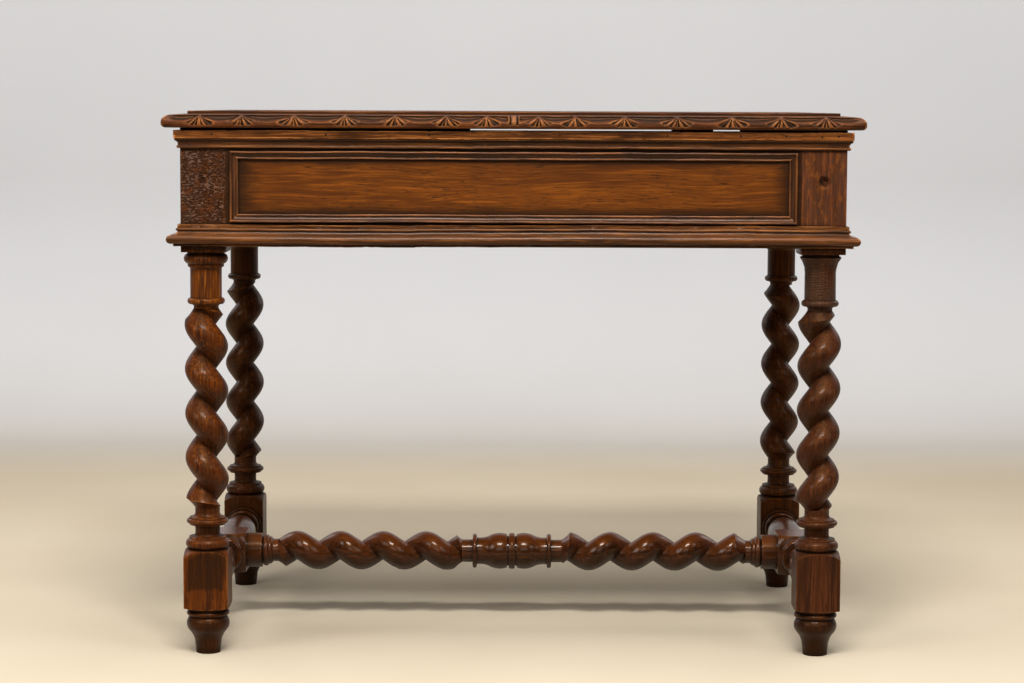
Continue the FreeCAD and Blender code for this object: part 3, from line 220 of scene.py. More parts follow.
def leg_shade(tree, place, patches, wood, dust_and_sheen=0.4):
    """Grey skin on the square head, partly dusty and partly a painted sheen, and floor dirt that has climbed
    up the foot.
    """
    z = add(tree, "SeparateXYZ", {}, {0: place}, out="Z")
    # The grey on the head is partly real and partly painted sheen of its flat faces
    wood = lay(tree, wood, "#513729", dust_and_sheen, (patches, 0.75, 0.35), (z, *POST_STEP))
    frayed = add(tree, "Math", {"operation": "MULTIPLY_ADD", 1: 0.03}, {0: patches, 2: z})
    return lay(tree, wood, GRIME_AND_SHADE, 0.72, (frayed, 0.085, 0.055))


def from_peg(tree, place):
    """Distance from the peg in the right front post."""
    low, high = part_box("front_right_leg")
    middle = Vector(((low.x + high.x) / 2, low.y, PEG_HEIGHT))
    return add(tree, "VectorMath", {"operation": "DISTANCE", 1: middle}, {0: place}, out="Value")


def right_leg_shade(tree, place, patches, wood):
    """As the other legs, with a column gone grey where its polish has perished, a flecked head, and painted
    shade in the dish round its peg.
    """
    z = add(tree, "SeparateXYZ", {}, {0: place}, out="Z")
    wood = lay(tree, wood, "#443228", 0.75, (patches, 0.75, 0.35), (z, 0.47, 0.52), (z, *COLUMN_END))
    on_post = where(tree, (z, *POST_STEP))
    wood = add(tree, "HueSaturation", {"Value": 2.0}, {"Fac": on_post, "Color": wood})
    flecks = speckle(tree, place, 6.0, 17.0, {"Detail": 6.0, "Roughness": 0.7})
    wood = lay(tree, wood, "#804A1E", 0.55, (flecks, 0.5, 0.66), (z, *POST_STEP))
    wood = lay(tree, wood, "#3E2A20", 0.75, (flecks, 0.52, 0.36), (z, *POST_STEP))
    # Painted shade in the shallow dish round the peg
    wood = lay(tree, wood, GRIME_AND_SHADE, 0.6, (from_peg(tree, place), 7 * MM, 3 * MM))
    return leg_shade(tree, place, patches, wood, 0.25)


def scales_of(tree, place):
    """Pattern of the crackled polish on the square head of the left leg: torn ripples, wider than high."""
    ripples = speckle(tree, place, 9.0, 4.0, {"Detail": 2.0, "Roughness": 0.6, "Distortion": 0.6})
    centred = add(tree, "Math", {"operation": "SUBTRACT", 1: 0.5}, {0: ripples})
    from_crack = add(tree, "Math", {"operation": "ABSOLUTE"}, {0: centred})
    z = add(tree, "SeparateXYZ", {}, {0: place}, out="Z")
    return where(tree, (from_crack, 0.0, 0.12), (z, *POST_STEP))


def left_leg_shade(tree, place, patches, wood):
    """As the other legs, with painted light on the column, crackled polish with painted glints on the head
    and a dark patch on the block.
    """
    low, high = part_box("front_left_leg")
    z = add(tree, "SeparateXYZ", {}, {0: place}, out="Z")
    x = add(tree, "SeparateXYZ", {}, {0: place}, out="X")
    painted_light_on_column = where(tree, (z, 0.486, 0.496), (z, 0.556, 0.54))
    # Painted light: the column is made lighter and more golden, as if it caught more light
    wood = add(tree, "HueSaturation", {"Hue": 0.505, "Value": 1.6}, {"Fac": painted_light_on_column, "Color": wood})

    centred = add(tree, "Math", {"operation": "SUBTRACT", 1: (low.x + high.x) / 2}, {0: x})
    aside = add(tree, "Math", {"operation": "ABSOLUTE"}, {0: centred})
    frayed = add(tree, "Math", {"operation": "MULTIPLY_ADD", 1: 0.03}, {0: patches, 2: z})
    wood = lay(tree, wood, GRIME_AND_SHADE, 0.75, (frayed, 0.106, 0.113), (frayed, 0.164, 0.156), (aside, 0.029, 0.023))
    wood = leg_shade(tree, place, patches, wood, 0.8)

    lifted_mm = 14.0
    scales = scales_of(tree, place)
    lifted = add(tree, "TexNoise", {"Scale": 1 / (lifted_mm * MM), "Detail": 4.0}, {"Vector": place})
    wood = lay(tree, wood, GRIME_AND_SHADE, 0.7, (scales, 0.5, 0.0), (z, *POST_STEP))
    wood = lay(tree, wood, "#6A3418", 0.5, (lifted, 0.55, 0.7), (z, *POST_STEP))
    # Pale flecks on the tops of the scales are painted glints, a painted highlight
    return lay(tree, wood, "#8E786C", 0.25, (scales, 0.75, 1.0), (lifted, 0.6, 0.4), (z, *POST_STEP))


def cornice_shade(tree, place, patches, wood):
    """Flat upper face of the cornice painted lighter and golden as if lit under the lid, over a painted
    shadow line and darker lower members.
    """
    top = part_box("front_cornice")[1].z
    z = add(tree, "SeparateXYZ", {}, {0: place}, out="Z")
    painted_light_on_fascia = where(tree, (z, top - 12.5 * MM, top - 11 * MM), (patches, 0.2, 0.6))
    # Painted light: the fascia is brightened where the lid's overhang would shade it
    wood = add(tree, "HueSaturation", {"Value": 3.6}, {"Fac": painted_light_on_fascia, "Color": wood})
    centred = add(tree, "Math", {"operation": "SUBTRACT", 1: top - 14.5 * MM}, {0: z})
    from_line = add(tree, "Math", {"operation": "ABSOLUTE"}, {0: centred})
    # Painted shadow: a black line under the fascia
    return lay(tree, wood, GRIME_AND_SHADE, 0.85, (from_line, 2.6 * MM, 1.2 * MM))


def rail_shade(tree, place, patches, wood):
    """Stretcher painted warmer and lighter on its upper side and darker underneath, as light from above falls
    on it.
    """
    facing = add(tree, "SeparateXYZ", {}, {0: add(tree, "TexCoord", out="Normal")}, out="Z")
    # Painted light on the upper side
    wood = lay(tree, wood, "#7A3C12", 0.3, (facing, 0.1, 0.9))
    # Painted shade on the underside
    return lay(tree, wood, GRIME_AND_SHADE, 0.75, (facing, 0.1, -0.7))


def lid_shade(tree, place, patches, wood):
    """Top of the lid polished, and its underside left dry and dusty."""
    facing = add(tree, "SeparateXYZ", {}, {0: add(tree, "TexCoord", out="Normal")}, out="Z")
    underside = (facing, -0.4, -0.9)
    dry = {"Hue": 0.515, "Saturation": 0.9, "Value": 1.6}
    wood = add(tree, "HueSaturation", dry, {"Fac": where(tree, underside), "Color": wood})
    return lay(tree, wood, "#6E5234", 0.35, underside)


def carved_shade(tree, place, patches, wood):
    """Rubbed bright ridges beside the cuts of the carving."""
    ridge = add(tree, "Attribute", {"attribute_name": "ridge"}, out="Fac")
    return lay(tree, wood, "#A06030", 0.42, (ridge, 0.1, 0.8))


def crackled_post(tree, place, under):
    """Crackled polish that stands up in scales on the square head of the left leg."""
    scales = scales_of(tree, place)
    return add(tree, "Bump", {"Strength": 1.0, "Distance": 2.0 * MM}, {"Height": scales, "Normal": under})


def dished_peg(tree, place, under):
    """Shallow dish worn round the peg of the right post, and torn fibres across the column under it."""
    dish = where(tree, (from_peg(tree, place), 3 * MM, 10 * MM))
    under = add(tree, "Bump", {"Strength": 1.0, "Distance": 6 * MM}, {"Height": dish, "Normal": under})
    z = add(tree, "SeparateXYZ", {}, {0: place}, out="Z")
    column = where(tree, (z, 0.49, 0.52), (z, *COLUMN_END))
    fibres = speckle(tree, place, 12.0, 1.8, {"Detail": 3.0, "Roughness": 0.6})
    torn = add(tree, "Math", {"operation": "MULTIPLY"}, {0: fibres, 1: column})
    return add(tree, "Bump", {"Strength": 1.0, "Distance": 2.0 * MM}, {"Height": torn, "Normal": under})


def wrought_iron():
    """Forged iron of the hinges and nails: dull black scale, a little pitted, with brown rust in patches."""
    scale_mm = 3.0
    rust_mm = 9.0
    material, tree, shader = new_material("wrought_iron_blackened")
    place = add(tree, "TexCoord", out="Object")
    pitted = add(tree, "TexNoise", {"Scale": 1 / (scale_mm * MM), "Detail": 5.0}, {"Vector": place})
    patchy = {"Scale": 1 / (rust_mm * MM), "Detail": 4.0, "Roughness": 0.65}
    rust = add(tree, "TexNoise", patchy, {"Vector": place})
    black_and_brown = {"data_type": "RGBA", 6: colour("#2B2826"), 7: colour("#4A2F20")}
    scale = add(tree, "Mix", black_and_brown, {0: where(tree, (rust, 0.48, 0.66))})
    tree.links.new(scale, shader.inputs["Base Color"])
    shader.inputs["Metallic"].default_value = 0.6
    rough = add(tree, "MapRange", {"To Min": 0.45, "To Max": 0.7}, {"Value": pitted})
    tree.links.new(rough, shader.inputs["Roughness"])
    relief = add(tree, "Bump", {"Strength": 0.5, "Distance": 0.3 * MM}, {"Height": pitted})
    tree.links.new(relief, shader.inputs["Normal"])
    return material


PANEL_TONES = ("#4A230A", "#69350B", "#8A4A11", "#9A5A22")
RAIL_TONES = ("#301708", "#663816", "#905424", "#CC8240")
MOULDING_TONES = ("#2A160C", "#4C2C1A", "#6A4024", "#BE7030")
EDGE_TONES = ("#24110A", "#532810", "#763E16", "#AA682C")
STRETCHER_TONES = ("#180A04", "#3E1C0A", "#5E2E10", "#80441C")
BARE_TONES = ("#5E4128", "#7E5D3E", "#90704E", "#A08058")
RIGHT_LEG_TONES = ("#1F0E08", "#42200F", "#603218", "#804820")
LEG_LOOKS = {
    "front_left": (("#26100A", "#562708", "#844310", "#A65E20"), left_leg_shade, crackled_post),
    "front_right": (RIGHT_LEG_TONES, right_leg_shade, dished_peg),
    "rear_left": (("#1C0C06", "#44200A", "#643410", "#84481A"), leg_shade, None),
    "rear_right": (("#1C0C06", "#46210B", "#663510", "#864A1A"), leg_shade, None),
}
RAIL_POLISH = {"roughness": 0.4, "coat": 0.15, "crevice_mm": 5.0}
MOULDING_POLISH = {"roughness": 0.4, "coat": 0.2, "crevice_mm": 5.0}
EDGE_POLISH = {"roughness": 0.38, "crevice_mm": 4.0, "shade": carved_shade, "cut": "cut"}
LEG_POLISH = {"roughness": 0.45, "coat": 0.07, "polish": AMBER_POLISH, "crevice_mm": 18.0}
STRETCHER_POLISH = {"roughness": 0.34, "coat": 0.3, "polish": AMBER_POLISH, "shade": rail_shade}
IRON = wrought_iron()
FRONT_PANEL = oak("panel_oak_waxed", "X", PANEL_TONES, shade=panel_shade)
PANEL = {
    "X": oak("rear_panel_oak_waxed", "X", PANEL_TONES),
    "Y": oak("end_panel_oak_waxed", "Y", PANEL_TONES),
}
STILE = oak("moulding_oak_upright", "Z", MOULDING_TONES, **MOULDING_POLISH)
LID = oak("lid_oak_waxed", "X", EDGE_TONES, roughness=0.5, shade=lid_shade)
BATTEN = oak("batten_oak_bare", "Y", BARE_TONES, roughness=0.65)
BOTTOM = oak("bottom_oak_bare", "X", BARE_TONES, roughness=0.75)
BEARER = oak("bearer_oak_bare", "Y", BARE_TONES, roughness=0.75)
PEG = oak("peg_oak_end", "Y", RIGHT_LEG_TONES, roughness=0.5, wear=0.0, crevice_mm=1.5)
CENTRE_STRETCHER = oak("turned_oak_centre", "X", STRETCHER_TONES, crevice_mm=20.0, **STRETCHER_POLISH)
SIDE_STRETCHER = oak("turned_oak_side", "Y", STRETCHER_TONES, crevice_mm=12.0, **STRETCHER_POLISH)
BASE = {}
CORNICE = {}
MOULDING = {}
EDGE = {}
for grain, run in (("X", "long"), ("Y", "end")):
    BASE[grain] = oak("rail_oak_" + run, grain, RAIL_TONES, **RAIL_POLISH)
    CORNICE[grain] = oak("cornice_oak_" + run, grain, RAIL_TONES, shade=cornice_shade, **RAIL_POLISH)
    MOULDING[grain] = oak("moulding_oak_" + run, grain, MOULDING_TONES, **MOULDING_POLISH)
    EDGE[grain] = oak("carved_oak_" + run, grain, EDGE_TONES, **EDGE_POLISH)
LEG = {}
for corner, (tones, shade, surface) in LEG_LOOKS.items():
    LEG[corner] = oak("turned_oak_" + corner, "Z", tones, shade=shade, surface=surface, **LEG_POLISH)


# Finish of each node of the frame


def dress(piece, material, plank):
    """Give a piece its finish and a number that sets its own stretch of grain."""
    piece["plank"] = float(plank)
    if piece.material_slots:
        for held in piece.material_slots:
            held.material = material
    else:
        piece.data.materials.append(material)


def finish_of(node):
    """The finish of a frame node, by what the node is."""
    grain = "X" if "front" in node or "rear" in node else "Y"
    if "hinge" in node:
        return IRON
    if node.endswith("_leg"):
        return LEG[node.removesuffix("_leg")]
    if node.endswith("_stretcher"):
        return CENTRE_STRETCHER if node.startswith("centre") else SIDE_STRETCHER
    if node.endswith("_pegs"):
        return PEG
    if node.endswith("_apron"):
        return FRONT_PANEL if node.startswith("front") else PANEL[grain]
    if node.endswith("_bearer"):
        return BEARER
    if node.startswith("bottom_"):
        return BOTTOM
    if node.endswith("_batten"):
        return BATTEN
    if node.startswith("lid_"):
        return EDGE[grain] if node.endswith("_edge") else LID
    if node.endswith(("moulding_left", "moulding_right")):
        return STILE
    if "panel_moulding" in node:
        return MOULDING[grain]
    return CORNICE[grain] if node.endswith("_cornice") else BASE[grain]


# No two pieces share a stretch of grain
PLANK_STEP = 1.7
PLANK = {node: number * PLANK_STEP for number, node in enumerate(sorted(nodes))}
for node, thing in nodes.items():
    dress(thing, finish_of(node), PLANK[node])


# Making a new piece


def new_piece(name, points, faces, body):
    """A new mesh piece that rides on a body, smooth except at its sharp arrises."""
    sharp_degrees = 38
    mesh = bpy.data.meshes.new(name)
    mesh.from_pydata(points, [], faces)
    mesh.validate()
    mesh.polygons.foreach_set("use_smooth", [True] * len(mesh.polygons))
    mesh.set_sharp_from_angle(angle=math.radians(sharp_degrees))
    piece = bpy.data.objects.new(name, mesh)
    bpy.context.scene.collection.objects.link(piece)
    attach(piece, body)
    return piece


def ease(share):
    """Smooth step from 0 to 1."""
    share = np.clip(share, 0.0, 1.0)
    return share * share * (3 - 2 * share)


def skin(rows, columns):
    """Faces of a closed tube of rows round the section and columns along it, with a face at each end."""
    faces = []
    for column in range(columns - 1):
        for row in range(rows):
            here = column * rows + row
            beside = column * rows + (row + 1) % rows
            faces.append((here, beside, beside + rows, here + rows))
    faces.append(tuple(range(rows))[::-1])
    faces.append(tuple(range((columns - 1) * rows, columns * rows)))
    return faces


# Carved edge of the lid: swags between fans, in millimetres

EDGE_WIDTH = 34.0
ROUND_START = 20.0
ROUND_FOOT = 6.0
ROUND_DROP = 12.3
CARVED_HEIGHT = 15.6
SCOOP_DEPTH = 8.0
FOLD_DEPTH = 1.1
GROOVE_DEPTH = 2.6
BAR_DEPTH = 2.0
RAYS = (-1.32, -1.02, -0.64, -0.22, 0.22, 0.64, 1.02, 1.32)
FAN_PLACES = {
    "front": [-437, -379, -306, -235, -165, -94, -38, 35, 85, 154, 227, 303, 372, 434],
    "rear": [-435, -375, -305, -231, -159, -90, -37, 37, 90, 159, 231, 305, 375, 435],
    "right": [-264, -206, -148, -90, -37, 37, 90, 148, 206, 264],
    "left": [-264, -206, -148, -90, -37, 37, 90, 148, 206, 264],
}


def edge_section():
    """Section of the edge, from the inside over the top to the underside.

    Each point has its reach and height, the outward slope in both, and its share of the carved height,
    which is -1 where nothing is carved.
    """
    inside_and_top = ((0.0, 0.0), (0.0, 19.9), (10.0, 19.1), (17.0, 18.54))
    underside = ((33.1, 0.9), (31.0, 0.0))
    lip_heights = (5.2, 4.4, 3.7, 3.0)
    round_steps = 24
    width = EDGE_WIDTH - ROUND_START
    section = [(reach, height, 0, 0, -1.0) for reach, height in inside_and_top]
    for step in range(round_steps + 1):
        drop = (step / round_steps) ** 1.3
        angle = math.acos(1 - drop)
        out = Vector((math.sin(angle) / width, math.cos(angle) / ROUND_DROP)).normalized()
        reach = ROUND_START + width * math.sin(angle)
        height = ROUND_FOOT + ROUND_DROP * math.cos(angle)
        section.append((reach, height, out.x, out.y, drop * ROUND_DROP / CARVED_HEIGHT))
    for height in lip_heights:
        section.append((EDGE_WIDTH, height, 1, 0, (ROUND_FOOT + ROUND_DROP - height) / CARVED_HEIGHT))
    section += [(reach, height, 0, 0, -1.0) for reach, height in underside]
    return np.array(section)


def fan_grooves(across, drop, fan):
    """Strength of the grooves that spread down from a fan, each fan a little unlike the next."""
    down = np.maximum(drop * CARVED_HEIGHT, 0.01)
    angle = np.arctan2(across, down)
    reach = np.hypot(across, down)
    grooves = np.zeros_like(across)
    for number, ray in enumerate(RAYS):
        slip = 0.09 * np.sin(fan * 1.7 + number * 2.1)
        wide = 0.16 + 0.05 * np.sin(fan * 2.3 + number * 1.3)
        strong = 0.75 + 0.25 * np.sin(fan * 3.1 + number * 1.9)
        grooves = np.maximum(grooves, strong * ease(1 - np.abs(angle - ray - slip) / wide))
    start = 1.5
    end = 23.0 + 2.0 * np.sin(fan)
    return grooves * (ease((reach - start) / 3) * ease((end - reach) / 5) * ease((1.0 - drop) / 0.1))


def carving(x, drop, fans, half):
    """Scoop of the swags, depth of their folds and grooves, and darkness of dirt and painted shade at each
    point.

    Scooped swags hang between the fans, and two upright bars mark the middle of the edge. The drop is the
    share of the carved height below its top.
    """
    bar_place = 5.0
    bar_half_width = 2.0
    folds_in_swag = 2.4
    stops = np.array([-half] + fans + [half], float)
    after = np.clip(np.searchsorted(stops, x), 1, len(stops) - 1)
    left = stops[after - 1]
    right = stops[after]
    share = (2 * x - left - right) / (right - left)
    fan = np.where(share < 0, left, right)
    carved = np.where(drop < 0, 0.0, 1.0)
    beside_bars = ease((np.abs(x) - 7.0) / 3.0)
    plain_nose = ease((half - np.abs(x) - 8.0) / 16.0)

    hem = 0.02 + 0.62 * np.clip(1 - share ** 2, 0, 1) ** 0.9
    hang = np.clip(drop / hem, 0, 1)
    scoop = SCOOP_DEPTH * np.sin(math.pi * hang) ** 0.7 * ease(hem / 0.3) * beside_bars * plain_nose * carved
    fold = 0.5 - 0.5 * np.cos(2 * math.pi * folds_in_swag * hang + 0.9 * np.sin(x / 9.0) * hang)
    folds = FOLD_DEPTH * fold * np.clip(scoop / 3.0, 0, 1)

    grooves = fan_grooves(x - fan, drop, fan)
    outside_swag = ease((drop - hem + 0.02) / 0.05)
    on_fan = np.where(np.abs(fan) < half - 1, 1.0, 0.0)
    bar = BAR_DEPTH * ease(1 - np.abs(np.abs(x) - bar_place) / bar_half_width) * ease((0.9 - drop) / 0.1)
    depth = (GROOVE_DEPTH * grooves * outside_swag * on_fan * beside_bars + bar) * carved

    # Scoops darken most in the valleys of their folds, and grooves by their depth: dirt and painted shade
    swag_dirt_and_shade = np.clip(scoop / 5.0, 0, 1) * ease((1.05 - hang) / 0.35) * (0.12 + 0.88 * fold)
    return scoop, folds, depth, np.clip(swag_dirt_and_shade + depth / 2.2, 0, 1)


def smooth_along(values, reach):
    """Running mean along the length of the edge."""
    padded = np.pad(values, ((reach, reach), (0, 0)), mode="edge")
    return sum(padded[step:step + len(values)] for step in range(2 * reach + 1)) / (2 * reach + 1)


def carve_edge(side):
    """One side of the lid's edge as a dense mesh, mitred at both ends and cut inwards only."""
    node = "lid_" + side + "_edge"
    low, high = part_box("lid_front_edge")
    half, face = high.x / MM, -low.y / MM
    if side in ("left", "right"):
        half, face = face, half
    inner = half - EDGE_WIDTH
    section = edge_section()
    column_mm = 1.2
    columns = int(half * 2 / column_mm)
    place = np.linspace(-1, 1, columns)[:, None]
    x = place * (inner + section[None, :, 0])
    drop = np.broadcast_to(section[None, :, 4], x.shape)
    scoop, folds, depth, carved_dirt_and_shade = carving(x, drop, FAN_PLACES[side], half)

    reach = section[None, :, 0] - section[None, :, 2] * depth
    height = section[None, :, 1] - section[None, :, 3] * depth
    scoop_floor = np.minimum(reach, ROUND_START + 0.6)
    reach = np.where(scoop > 0, np.maximum(reach - scoop, scoop_floor), reach) - folds

    # The corners of the lid are rounded underneath and in plan
    under_round = 7.0
    corner_round = 7.0
    rise = np.clip(under_round - height, 0, under_round)
    under = EDGE_WIDTH - under_round + np.sqrt(under_round ** 2 - rise ** 2)
    near_corner = ease((np.abs(x) - half + 26.0) / 18.0)
    reach = reach - np.maximum(reach - under, 0) * near_corner
    x = np.clip(x, -inner - reach, inner + reach)
    y = face - EDGE_WIDTH + reach
    past_x = np.maximum(np.abs(x) - (half - corner_round), 0)
    past_y = np.maximum(y - (face - corner_round), 0)
    past = np.hypot(past_x, past_y)
    squeeze = np.where(past > corner_round, corner_round / np.maximum(past, 1e-6), 1.0)
    x = np.where(past_x > 0, np.sign(x) * (half - corner_round + past_x * squeeze), x)
    y = np.where(past_y > 0, face - corner_round + past_y * squeeze, y)

    # So far x runs along the side and y straight out of it
    turns = {"front": (1, 0, 0, -1), "right": (0, 1, 1, 0), "rear": (-1, 0, 0, 1), "left": (0, -1, -1, 0)}
    x_of_x, y_of_x, x_of_y, y_of_y = turns[side]
    points = np.stack([x * x_of_x + y * x_of_y, x * y_of_x + y * y_of_y, height], axis=-1).reshape(-1, 3) * MM
    points[:, 2] += low.z
    faces = skin(len(section), columns)
    piece = new_piece("carved_edge_" + side, points.tolist(), faces, "lid")
    raised = np.clip((smooth_along(depth, 5) - depth) / 0.8, 0, 1)
    for name, values in (("cut", carved_dirt_and_shade), ("ridge", raised)):
        piece.data.attributes.new(name, "FLOAT", "POINT").data.foreach_set("value", values.ravel())
    dress(piece, finish_of(node), PLANK[node])
    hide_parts(node)


for side in SIDES:
    carve_edge(side)


# Mouldings with the waves, dents and nibbled arrises of long use


def end_outline(mesh, axis):
    """Corners round the low end of a straight moulding, in order, and those that match at its far end."""
    work = bmesh.new()
    work.from_mesh(mesh)
    bmesh.ops.remove_doubles(work, verts=work.verts, dist=1e-6)
    caps = [face for face in work.faces if all(corner.co[axis] < 0 for corner in face.verts)]
    inside = set(caps)
    rim = {}
    for face in caps:
        for loop in face.loops:
            if any(other not in inside for other in loop.edge.link_faces):
                rim[loop.vert] = loop.link_loop_next.vert
    start = next(iter(rim))
    order = [start]
    while rim[order[-1]] is not start:
        order.append(rim[order[-1]])
    cross = [index for index in range(3) if index != axis]
    far = [corner.co.copy() for corner in work.verts if corner.co[axis] > 0]
    near_end = [corner.co.copy() for corner in order]
    far_end = []
    for corner in near_end:
        offsets = [sum((other[index] - corner[index]) ** 2 for index in cross) for other in far]
        far_end.append(far[offsets.index(min(offsets))])
    work.free()
    return near_end, far_end


def inward_at_arrises(outline, axis):
    """The way into the wood at each sharp corner of an outline, and None at the others."""
    ways = []
    for index, corner in enumerate(outline):
        back = outline[index - 1] - corner
        ahead = outline[(index + 1) % len(outline)] - corner
        back[axis] = 0
        ahead[axis] = 0
        back.normalize()
        ahead.normalize()
        sharp = back.dot(ahead) > -0.6
        ways.append((back + ahead).normalized() if sharp else None)
    return ways


def worn_copy(node, step_mm, joint_mm=()):
    """Copy of a straight moulding that drifts up and down, with nibbled arrises and steps at its joints."""
    long_wave_mm = 85
    short_wave_mm = 22
    dent_mm = 11
    nick_mm = 4
    sound_end_mm = 25
    axis = 0 if node.startswith(("front", "rear")) else 1
    near_end, far_end = end_outline(nodes[node].data, axis)
    inward = inward_at_arrises(near_end, axis)
    rows = len(near_end)
    length = max((far - near).length for near, far in zip(near_end, far_end))
    columns = int(length / MM / step_mm)
    seed = PLANK[node]
    points = []
    for column in range(columns):
        share = column / (columns - 1)
        fade = float(ease(min(share, 1 - share) * length / (sound_end_mm * MM)))
        for index in range(rows):
            point = near_end[index].lerp(far_end[index], share)
            along = point[axis] / MM
            drift = noise.noise(Vector((along / long_wave_mm, seed, 0.0))) * 0.8
            drift += noise.noise(Vector((along / short_wave_mm, seed, 5.0))) * 0.25
            drift += sum(0.5 if along > joint else -0.1 for joint in joint_mm)
            point.z += drift * fade * MM
            if inward[index] is not None:
                bite = noise.noise(Vector((along / dent_mm, seed, index * 3.1)))
                bite += 0.6 * noise.noise(Vector((along / nick_mm, seed, index * 5.3)))
                point += inward[index] * max(0.0, bite - 0.1) * 1.3 * fade * MM
            points.append(point)
    piece = new_piece("worn_" + node, points, skin(rows, columns), "table")
    dress(piece, finish_of(node), PLANK[node])
    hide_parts(node)


JOINTS = {"front_cornice": (-57.0,), "front_base_moulding": (55.0, -138.0)}
for side in SIDES:
    for kind in ("cornice", "base_moulding", "panel_moulding_top", "panel_moulding_bottom"):
        if (side, kind) != ("rear", "cornice"):
            node = side + "_" + kind
            worn_copy(node, 2.5 if side == "front" else 5.0, JOINTS.get(node, ()))


# Eroded capital of the right front leg


def erode_capital():
    """Copy of the leg whose capital has lost its rings to rot, down to a rough flare."""
    low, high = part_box("front_right_leg")
    middle = (low + high) / 2
    bottom = 0.548
    top = 0.5725
    neck_mm = 21.8
    flare_mm = 9.5
    work = bmesh.new()
    work.from_mesh(nodes["front_right_leg"].data)
    bmesh.ops.remove_doubles(work, verts=work.verts, dist=1e-6)
    tall = [edge for edge in work.edges if all(bottom - MM < corner.co.z < top for corner in edge.verts)]
    bmesh.ops.subdivide_edges(work, edges=tall, cuts=3, use_grid_fill=True)
    for corner in work.verts:
        if not bottom < corner.co.z < top:
            continue
        out = Vector((corner.co.x - middle.x, corner.co.y - middle.y, 0))
        share = (corner.co.z - bottom) / (top - bottom)
        rough = noise.noise(corner.co / (5 * MM)) * 0.8 + noise.noise(corner.co / (2.2 * MM)) * 0.4
        limit = (neck_mm + flare_mm * share ** 2 + rough) * MM
        if out.length > limit:
            corner.co -= out * (1 - limit / out.length)
    work.verts.index_update()
    points = [corner.co.copy() for corner in work.verts]
    faces = [[corner.index for corner in face.verts] for face in work.faces]
    work.free()
    piece = new_piece("worn_front_right_leg", points, faces, "table")
    dress(piece, finish_of("front_right_leg"), PLANK["front_right_leg"])
    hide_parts("front_right_leg")


erode_capital()


# Nails through the cornice

NAIL_PLACES = {
    "front": [-421, -262, -118, 64, 214, 317, 380, 430, 453],
    "right": [-250, -120, 10, 140, 262],
    "rear": [-440, -300, -160],
    "left": [-262, -140, -10, 120, 250],
}


def drive_nails():
    """Small forged nail heads in the flat face of the cornice: low uneven domes with a sunk rim."""
    low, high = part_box("front_cornice")
    side_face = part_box("right_cornice")[1].x
    below_top_mm = 5.5
    height = high.z - below_top_mm * MM
    crown_mm = 0.5
    rings_mm = ((0.8, 0.35), (1.4, 0.05), (1.6, -1.2))
    round_steps = 9
    up = Vector((0, 0, 1))
    points = []
    faces = []
    for side, places in NAIL_PLACES.items():
        for number, along in enumerate(places):
            out, base = {
                "front": (Vector((0, -1, 0)), Vector((along * MM, low.y, height))),
                "right": (Vector((1, 0, 0)), Vector((side_face, along * MM, height))),
                "rear": (Vector((0, 1, 0)), Vector((along * MM, -low.y, height))),
                "left": (Vector((-1, 0, 0)), Vector((-side_face, along * MM, height))),
            }[side]
            base.z += noise.noise(Vector((along, number, 1.0))) * 2.5 * MM
            across = up.cross(out)
            first = len(points)
            points.append(base + out * crown_mm * MM)
            for radius, rise in rings_mm:
                for step in range(round_steps):
                    angle = 2 * math.pi * step / round_steps
                    wide = radius * (1 + 0.18 * noise.noise(Vector((step * 0.9, along, 2.0))))
                    round_it = across * math.cos(angle) + up * math.sin(angle)
                    points.append(base + round_it * wide * MM + out * rise * MM)
            for step in range(round_steps):
                beside = (step + 1) % round_steps
                faces.append((first, first + 1 + step, first + 1 + beside))
                for ring in range(len(rings_mm) - 1):
                    row = first + 1 + ring * round_steps
                    below = row + round_steps
                    faces.append((row + step, below + step, below + beside, row + beside))
    piece = new_piece("cornice_nails", points, faces, "table")
    dress(piece, IRON, 0.5)


drive_nails()


# Camera, light and floor


def set_camera():
    """Camera of the photograph, solved from the legs and the frieze."""
    lens_mm = 90.76
    sensor_mm = 36.0
    place_mm = Vector((-4.7, -3913.0, 784.0))
    pitch, yaw, roll = (math.radians(angle) for angle in (5.253, -0.053, 0.248))
    data = bpy.data.cameras.new("camera")
    data.lens = lens_mm
    data.sensor_width = sensor_mm
    camera = bpy.data.objects.new("camera", data)
    bpy.context.scene.collection.objects.link(camera)
    aim = Matrix.Rotation(yaw, 4, "Z") @ Matrix.Rotation(math.pi / 2 - pitch, 4, "X")
    turn = aim @ Matrix.Rotation(roll, 4, "Z")
    camera.matrix_world = Matrix.Translation(place_mm * MM) @ turn
    bpy.context.scene.camera = camera


def soft_box(name, place, target, width, height, watts):
    """A broad even lamp, aimed at a point."""
    data = bpy.data.lights.new(name, "AREA")
    data.shape = "RECTANGLE"
    data.size = width
    data.size_y = height
    data.energy = watts
    lamp = bpy.data.objects.new(name, data)
    bpy.context.scene.collection.objects.link(lamp)
    lamp.location = place
    lamp.rotation_euler = (Vector(target) - Vector(place)).to_track_quat("-Z", "Y").to_euler()


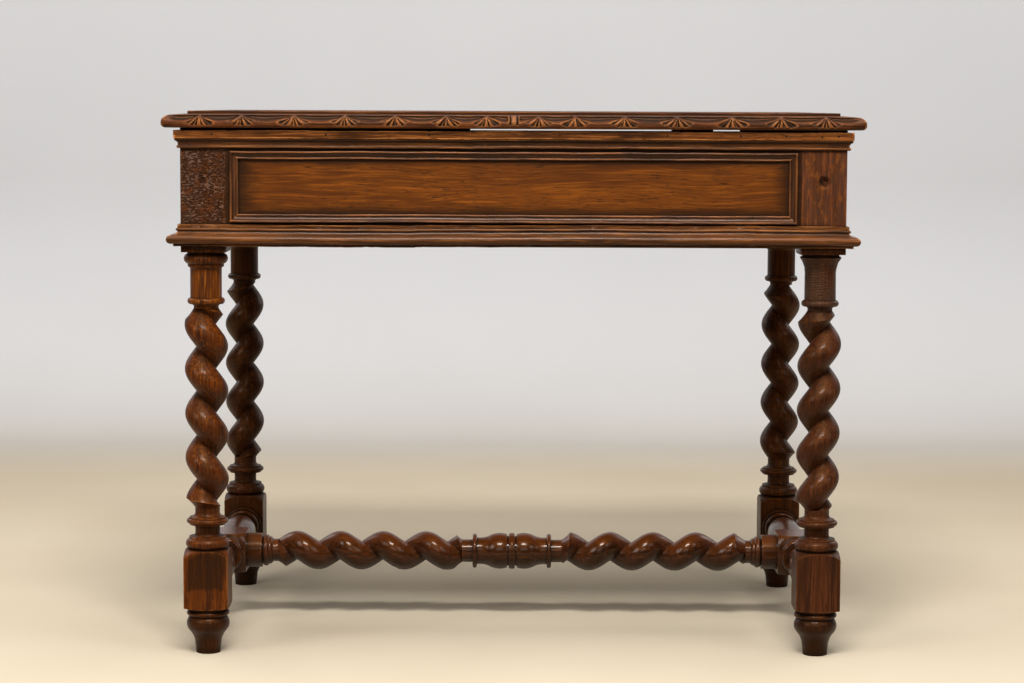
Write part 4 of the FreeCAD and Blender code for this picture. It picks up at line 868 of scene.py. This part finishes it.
def set_light():
    """Soft boxes above and in front, weaker ones at the sides and behind, and a dim even world."""
    soft_box("overhead", (0.0, -0.3, 3.0), (0, 0, 0.2), 3.0, 1.6, 65)
    soft_box("front_high", (0.0, -2.3, 3.2), (0, 0, 0.4), 1.4, 0.6, 135)
    soft_box("front_low", (0.0, -3.6, 1.5), (0, 0, 0.4), 2.4, 1.0, 18)
    soft_box("left_fill", (-2.6, -2.4, 2.2), (0, 0, 0.4), 1.4, 1.4, 44)
    soft_box("right_fill", (2.6, -2.4, 2.2), (0, 0, 0.4), 1.4, 1.4, 22)
    soft_box("rear_left_fill", (-2.4, 2.0, 2.0), (0, 0, 0.4), 1.2, 1.2, 12)
    soft_box("rear_right_fill", (2.4, 2.0, 2.0), (0, 0, 0.4), 1.2, 1.2, 12)
    world = bpy.data.worlds.new("studio")
    bpy.context.scene.world = world
    world.use_nodes = True
    world.node_tree.nodes["Background"].inputs["Color"].default_value = colour("#E6E6EA")
    world.node_tree.nodes["Background"].inputs["Strength"].default_value = 0.1


def studio_paper(depth):
    """Matt paper of the sweep: beige on the floor, pale grey on the wall, both a little cloudy."""
    cloud_mm = 400.0
    material, tree, shader = new_material("studio_paper")
    place = add(tree, "TexCoord", out="Object")
    cloudy = add(tree, "TexNoise", {"Scale": 1 / (cloud_mm * MM), "Detail": 3.0}, {"Vector": place})
    grey = {"data_type": "RGBA", 6: colour("#D4D2D1"), 7: colour("#DAD8D7")}
    beige = {"data_type": "RGBA", 6: colour("#BFAE94"), 7: colour("#CBBDA5")}
    wall = add(tree, "Mix", grey, {0: cloudy})
    ground = add(tree, "Mix", beige, {0: cloudy})
    y = add(tree, "SeparateXYZ", {}, {0: place}, out="Y")
    on_wall = where(tree, (y, depth - 1.2, depth))
    pale = add(tree, "Mix", {"data_type": "RGBA"}, {0: on_wall, 6: ground, 7: wall})
    # Only what looks at the paper sees it pale, so that it throws little light up under the table
    sight = add(tree, "LightPath", out="Is Camera Ray")
    for ray in ("Is Glossy Ray", "Is Transmission Ray"):
        sight = add(tree, "Math", {"operation": "MAXIMUM"}, {0: sight, 1: add(tree, "LightPath", out=ray)})
    seen = add(tree, "Mix", {"data_type": "RGBA", 6: colour("#6E6860")}, {0: sight, 7: pale})
    tree.links.new(seen, shader.inputs["Base Color"])
    shader.inputs["Roughness"].default_value = 0.9
    # From behind the paper is clear, so that the back of the table can be looked at
    behind = add(tree, "NewGeometry", out="Backfacing")
    clear = add(tree, "BsdfTransparent")
    shown = add(tree, "MixShader", {}, {0: behind, 1: shader.outputs[0], 2: clear})
    tree.links.new(shown, tree.nodes["Material Output"].inputs["Surface"])
    return material


def set_floor():
    """Sweep: a floor that bends up into a wall behind the table."""
    front = -1.3
    depth = 2.6
    bend = 0.6
    height = 3.0
    width = 14.0
    bend_steps = 12
    outline = [(front, 0.0)]
    for step in range(bend_steps + 1):
        angle = math.pi / 2 * step / bend_steps
        outline.append((depth - bend + bend * math.sin(angle), bend - bend * math.cos(angle)))
    outline.append((depth, height))
    points = [(side * width / 2, y, z) for y, z in outline for side in (-1, 1)]
    faces = [(2 * row, 2 * row + 1, 2 * row + 3, 2 * row + 2) for row in range(len(outline) - 1)]
    mesh = bpy.data.meshes.new("studio_sweep")
    mesh.from_pydata(points, [], faces)
    mesh.polygons.foreach_set("use_smooth", [True] * len(faces))
    mesh.materials.append(studio_paper(depth))
    sweep = bpy.data.objects.new("studio_sweep", mesh)
    bpy.context.scene.collection.objects.link(sweep)


set_camera()
set_light()
set_floor()
bpy.context.scene.view_settings.view_transform = "Standard"
